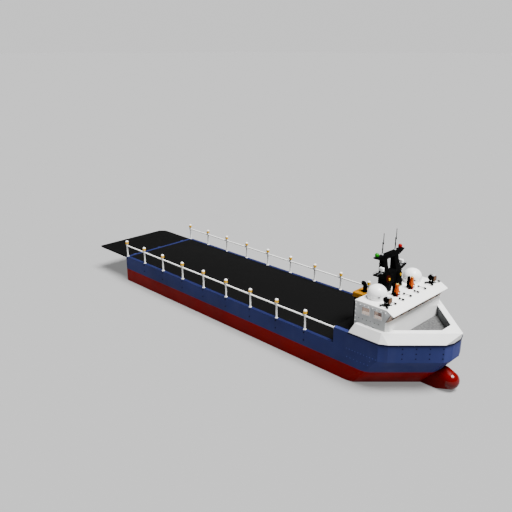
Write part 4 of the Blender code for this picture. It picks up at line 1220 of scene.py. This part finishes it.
class FERRY_OT_searchlights(FerryStep):
    """Searchlights on the roof's corners"""

    bl_idname = "ferry.searchlights"
    bl_label = "Searchlights"

    def build(self, context):
        for name, _ in SIDES:
            x, y, z = PIVOTS[f"searchlight_tilt_{name}"]
            yoke, body = f"searchlight_yoke_{name}", f"lamp_base_{name}"
            plated(yoke, "black", "black_paint", 0.006, body)
            places = around((x, y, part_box(yoke)[0].z + 0.038), 0.28, 4, start=45, outwards=False)
            bolts = studs(f"searchlight_bolts_{name}", places, 0.022, 0.018, 6)
            fit(bolts, "antenna_steel", finish="grey", body=body)
            knobs = [pipe("knob", [(x, y + e * 0.15, z), (x, y + e * 0.2395, z)], 0.028, 16) for e in (-1, 1)]
            points = [(x - 0.12, z + 0.16), (x - 0.12, z + 0.23), (x + 0.04, z + 0.23), (x + 0.04, z + 0.16)]
            grip = pipe("grip", [(at_x, y, at_z) for at_x, at_z in points], 0.014, 10)
            low, high = (x + 0.05, y - 0.12, z + 0.165), (x + 0.235, y + 0.12, z + 0.225)
            hood = slab("hood", low, high, 0.02, "grey")
            fixtures = [paint(piece, "black") for piece in (*knobs, grip)] + [hood]
            head = gather(f"searchlight_{name}", [*self.lamp((x, y, z)), *fixtures])
            fit(head, "black_paint", f"searchlight_head_{name}", body=f"lamp_head_{name}")

    def lamp(self, at):
        """The ribbed drum, the bezel and the lens, turned to look forward."""
        drum = turned("drum", at, [
            (0.06, -0.235), (0.10, -0.225), (0.165, -0.165), (0.172, -0.15), (0.172, -0.11), (0.182, -0.105),
            (0.182, -0.085), (0.172, -0.08), (0.172, -0.04), (0.182, -0.035), (0.182, -0.015), (0.172, -0.01),
            (0.176, 0.12), (0.200, 0.15),
        ], 40)
        outline = [(0.200, 0.148), (0.214, 0.155), (0.214, 0.225), (0.205, 0.235), (0.180, 0.235)]
        bezel = turned("bezel", at, outline, 40)
        outline = [(0.181, 0.20), (0.181, 0.238), (0.14, 0.249), (0.08, 0.256), (0.02, 0.258)]
        lens = turned("lens", at, outline, 40)
        parts = [paint(drum, "black"), paint(bezel, "black"), paint(lens, "tan_lens")]
        return [lay(part, at, (0, 90, 0)) for part in parts]


class FERRY_OT_monitors(FerryStep):
    """Fire monitors: black yokes with orange barrels"""

    bl_idname = "ferry.monitors"
    bl_label = "Fire monitors"

    def build(self, context):
        for name, _ in SIDES:
            self.yoke(name)
            self.barrel(name)

    def yoke(self, name):
        """The turning yoke: a painted foot with bolts, a black plate behind the barrel that paints the shade
        on its aft side, and two bearing caps.
        """
        x, y, z = PIVOTS[f"monitor_tilt_{name}"]
        node, body = f"monitor_yoke_{name}", f"monitor_base_{name}"
        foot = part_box(node)[0].z
        yoke = plated(node, "black", "black_paint", 0.006, body)
        repaint(yoke, "white", lambda at: at.x > x + 0.14 and at.z < foot + 0.08)
        # The yoke's bottom edge is scarlet: painted shade at the foot
        repaint(yoke, "scarlet", lambda at: at.z < foot + 0.022)
        places = [facing((x + dx, y + dy, foot + 0.068)) for dx in (-0.28, 0.22) for dy in (-0.06, 0.06)]
        bolts = studs(f"monitor_bolts_{name}", places, 0.018, 0.016, 6)
        fit(bolts, "antenna_steel", finish="grey", body=body)
        # A black plate behind the barrel paints the dark shade on the barrel's aft side
        half = [(0.17, foot + 0.02), (0.14, 5.60), (0.095, 6.00)]
        outline = half + [(-out, up) for out, up in reversed(half)]
        corners = [(x - 0.27, y + out, up) for out, up in outline]
        shade_plate = plate(f"monitor_shade_plate_{name}", corners, (0.085, 0, 0))
        fit(round_edges(shade_plate, 0.012), "black_paint", finish="black", body=body)
        caps = []
        for end in (-1, 1):
            points = [(x, y + end * 0.212, z - 0.03), (x, y + end * 0.285, z - 0.03)]
            caps.append(round_edges(pipe("cap", points, 0.080, 20), 0.014))
        fit(gather(f"monitor_caps_{name}", caps), "black_paint", finish="black", body=body)

    def barrel(self, name):
        """The tapered barrel with its tip and mouth, and on it fins, trunnions, a valve and a handle."""
        x, y, z = PIVOTS[f"monitor_tilt_{name}"]
        barrel = turned("barrel", (x, y, 0), [
            (0.08, 5.36), (0.12, 5.37), (0.150, 5.40), (0.162, 5.44), (0.158, 5.50), (0.146, 5.58),
            (0.140, 5.59), (0.140, 5.62), (0.098, 5.94), (0.100, 5.95), (0.100, 6.00), (0.080, 6.01),
        ], 36)
        # The barrel's flared foot is scarlet: painted shade
        repaint(paint(barrel, "flame"), "scarlet", lambda at: at.z < 5.45)
        tip = turned("tip", (x, y, 0), [(0.062, 6.005), (0.060, 6.02), (0.054, 6.055), (0.046, 6.07)], 36)
        mouth = turned("mouth", (x, y, 0), [(0.036, 6.068), (0.036, 6.078), (0.02, 6.08)], 24)
        fins, knobs = [], []
        outline = [(0.085, 5.93), (0.135, 5.50), (0.172, 5.44), (0.168, 5.56), (0.122, 5.93)]
        # The scarlet fins and trunnions paint the shade on the barrel's sides
        for end in (-1, 1):
            fin = plate("fin", [(x - 0.02, y + end * out, up) for out, up in outline], (0.04, 0, 0))
            fins.append(paint(fin, "scarlet"))
            knob = pipe("knob", [(x, y + end * 0.12, z), (x, y + end * 0.1845, z)], 0.040, 20)
            knobs.append(paint(knob, "scarlet"))
        valve = slab("valve", (x + 0.12, y - 0.05, 5.44), (x + 0.172, y + 0.05, 5.50), 0.010, "white")
        handle = pipe("handle", [(x + 0.10, y, 5.86), (x + 0.17, y, 5.90), (x + 0.17, y, 6.02)], 0.014, 10)
        # The pale yellow tip and handle paint the highlight at the barrel's top
        ends = [paint(tip, "yellow"), paint(mouth, "gasket")]
        parts = [barrel, *ends, *fins, *knobs, valve, paint(handle, "yellow")]
        fit(gather(f"monitor_{name}", parts), "orange_paint", f"monitor_barrel_{name}", body=f"nozzle_{name}")


class FERRY_OT_roof_bars(FerryStep):
    """Short bars with end blocks along the front of the roof"""

    bl_idname = "ferry.roof_bars"
    bl_label = "Roof bars"

    def build(self, context):
        # Where each bar's aft block stands, and the bars' places across the roof
        for name, aft_x, ys in (
            ("roof_bars", 12.86, (-2.93, -2.075, -0.415, 1.245, 2.075, 2.93)),
            ("short_roof_bars", 13.09, (-1.245, 0.415)),
        ):
            rod = pipe("rod", [(aft_x, 0, ROOF_Z + 0.09), (13.34, 0, ROOF_Z + 0.09)], 0.018, 12)
            parts = [paint(rod, "dark_grey")]
            for middle, reach in ((aft_x, 0.065), (13.32, 0.080)):
                low, high = (middle - reach, -0.042, ROOF_Z + 0.045), (middle + reach, 0.042, ROOF_Z + 0.135)
                parts.append(slab("end", low, high, 0.014, "black"))
                for y in (-0.055, 0.055):
                    leg = pipe("leg", [(middle, 0, ROOF_Z + 0.07), (middle, y, ROOF_Z - 0.002)], 0.010, 8)
                    parts.append(paint(leg, "grey"))
            places = [facing((0, y, 0)) for y in ys]
            fit(repeated(name, gather("roof_bar", parts), places), "black_paint")


class FERRY_OT_stern(FerryStep):
    """Stern ramp, propellers and rudders"""

    bl_idname = "ferry.stern"
    bl_label = "Stern gear"

    def build(self, context):
        plated("stern_ramp", "ramp", "ramp_paint", 0.012, "ramp")
        low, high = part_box("stern_ramp")
        tread = slab("tread", (-0.025, -3.1, 0), (0.025, 3.1, 0.012), 0.004, "ramp", 1)
        places = [facing((-16.3 + 0.32 * step, 0, high.z - 0.001)) for step in range(11)]
        fit(repeated("ramp_treads", tread, places), "ramp_paint", body="ramp")
        rib = slab("rib", (-16.5, -0.04, -0.16), (-13.1, 0.04, 0.0), 0.010, "ramp", 1)
        places = [facing((0, y, low.z + 0.001)) for y in (-3.2, -1.9, -0.65, 0.65, 1.9, 3.2)]
        fit(repeated("ramp_girders", rib, places), "ramp_paint", body="ramp")
        for name, _ in SIDES:
            plated(f"propeller_{name}", "bronze", "bronze", 0.002, f"screw_{name}")
            plated(f"rudder_{name}", "bulb", "bottom_paint", 0.004, f"helm_{name}")


STEPS = (
    FERRY_OT_stage, FERRY_OT_hull, FERRY_OT_rails, FERRY_OT_house, FERRY_OT_cabin, FERRY_OT_casing,
    FERRY_OT_mast, FERRY_OT_radomes, FERRY_OT_searchlights, FERRY_OT_monitors, FERRY_OT_roof_bars,
    FERRY_OT_stern,
)


class FERRY_PT_panel(bpy.types.Panel):
    """Steps, colours and sizes of the car ferry"""

    bl_idname = "FERRY_PT_panel"
    bl_label = "Car Ferry"
    bl_space_type = "VIEW_3D"
    bl_region_type = "UI"
    bl_category = "Car Ferry"

    def draw(self, context):
        for group in (context.scene.ferry_paints, context.scene.ferry_sizes):
            for name in group.__annotations__:
                self.layout.prop(group, name)
        for step in STEPS:
            self.layout.operator(step.bl_idname)


CLASSES = (FerryPaints, FerrySizes, *STEPS, FERRY_PT_panel)


def register():
    for one in CLASSES:
        bpy.utils.register_class(one)
    bpy.types.Scene.ferry_paints = bpy.props.PointerProperty(type=FerryPaints)
    bpy.types.Scene.ferry_sizes = bpy.props.PointerProperty(type=FerrySizes)


def unregister():
    del bpy.types.Scene.ferry_paints
    del bpy.types.Scene.ferry_sizes
    for one in reversed(CLASSES):
        bpy.utils.unregister_class(one)


def main():
    """Builds the ferry step by step."""
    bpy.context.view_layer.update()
    register()
    for step in STEPS:
        family, name = step.bl_idname.split(".")
        getattr(getattr(bpy.ops, family), name)()


if __name__ == "__main__":
    main()
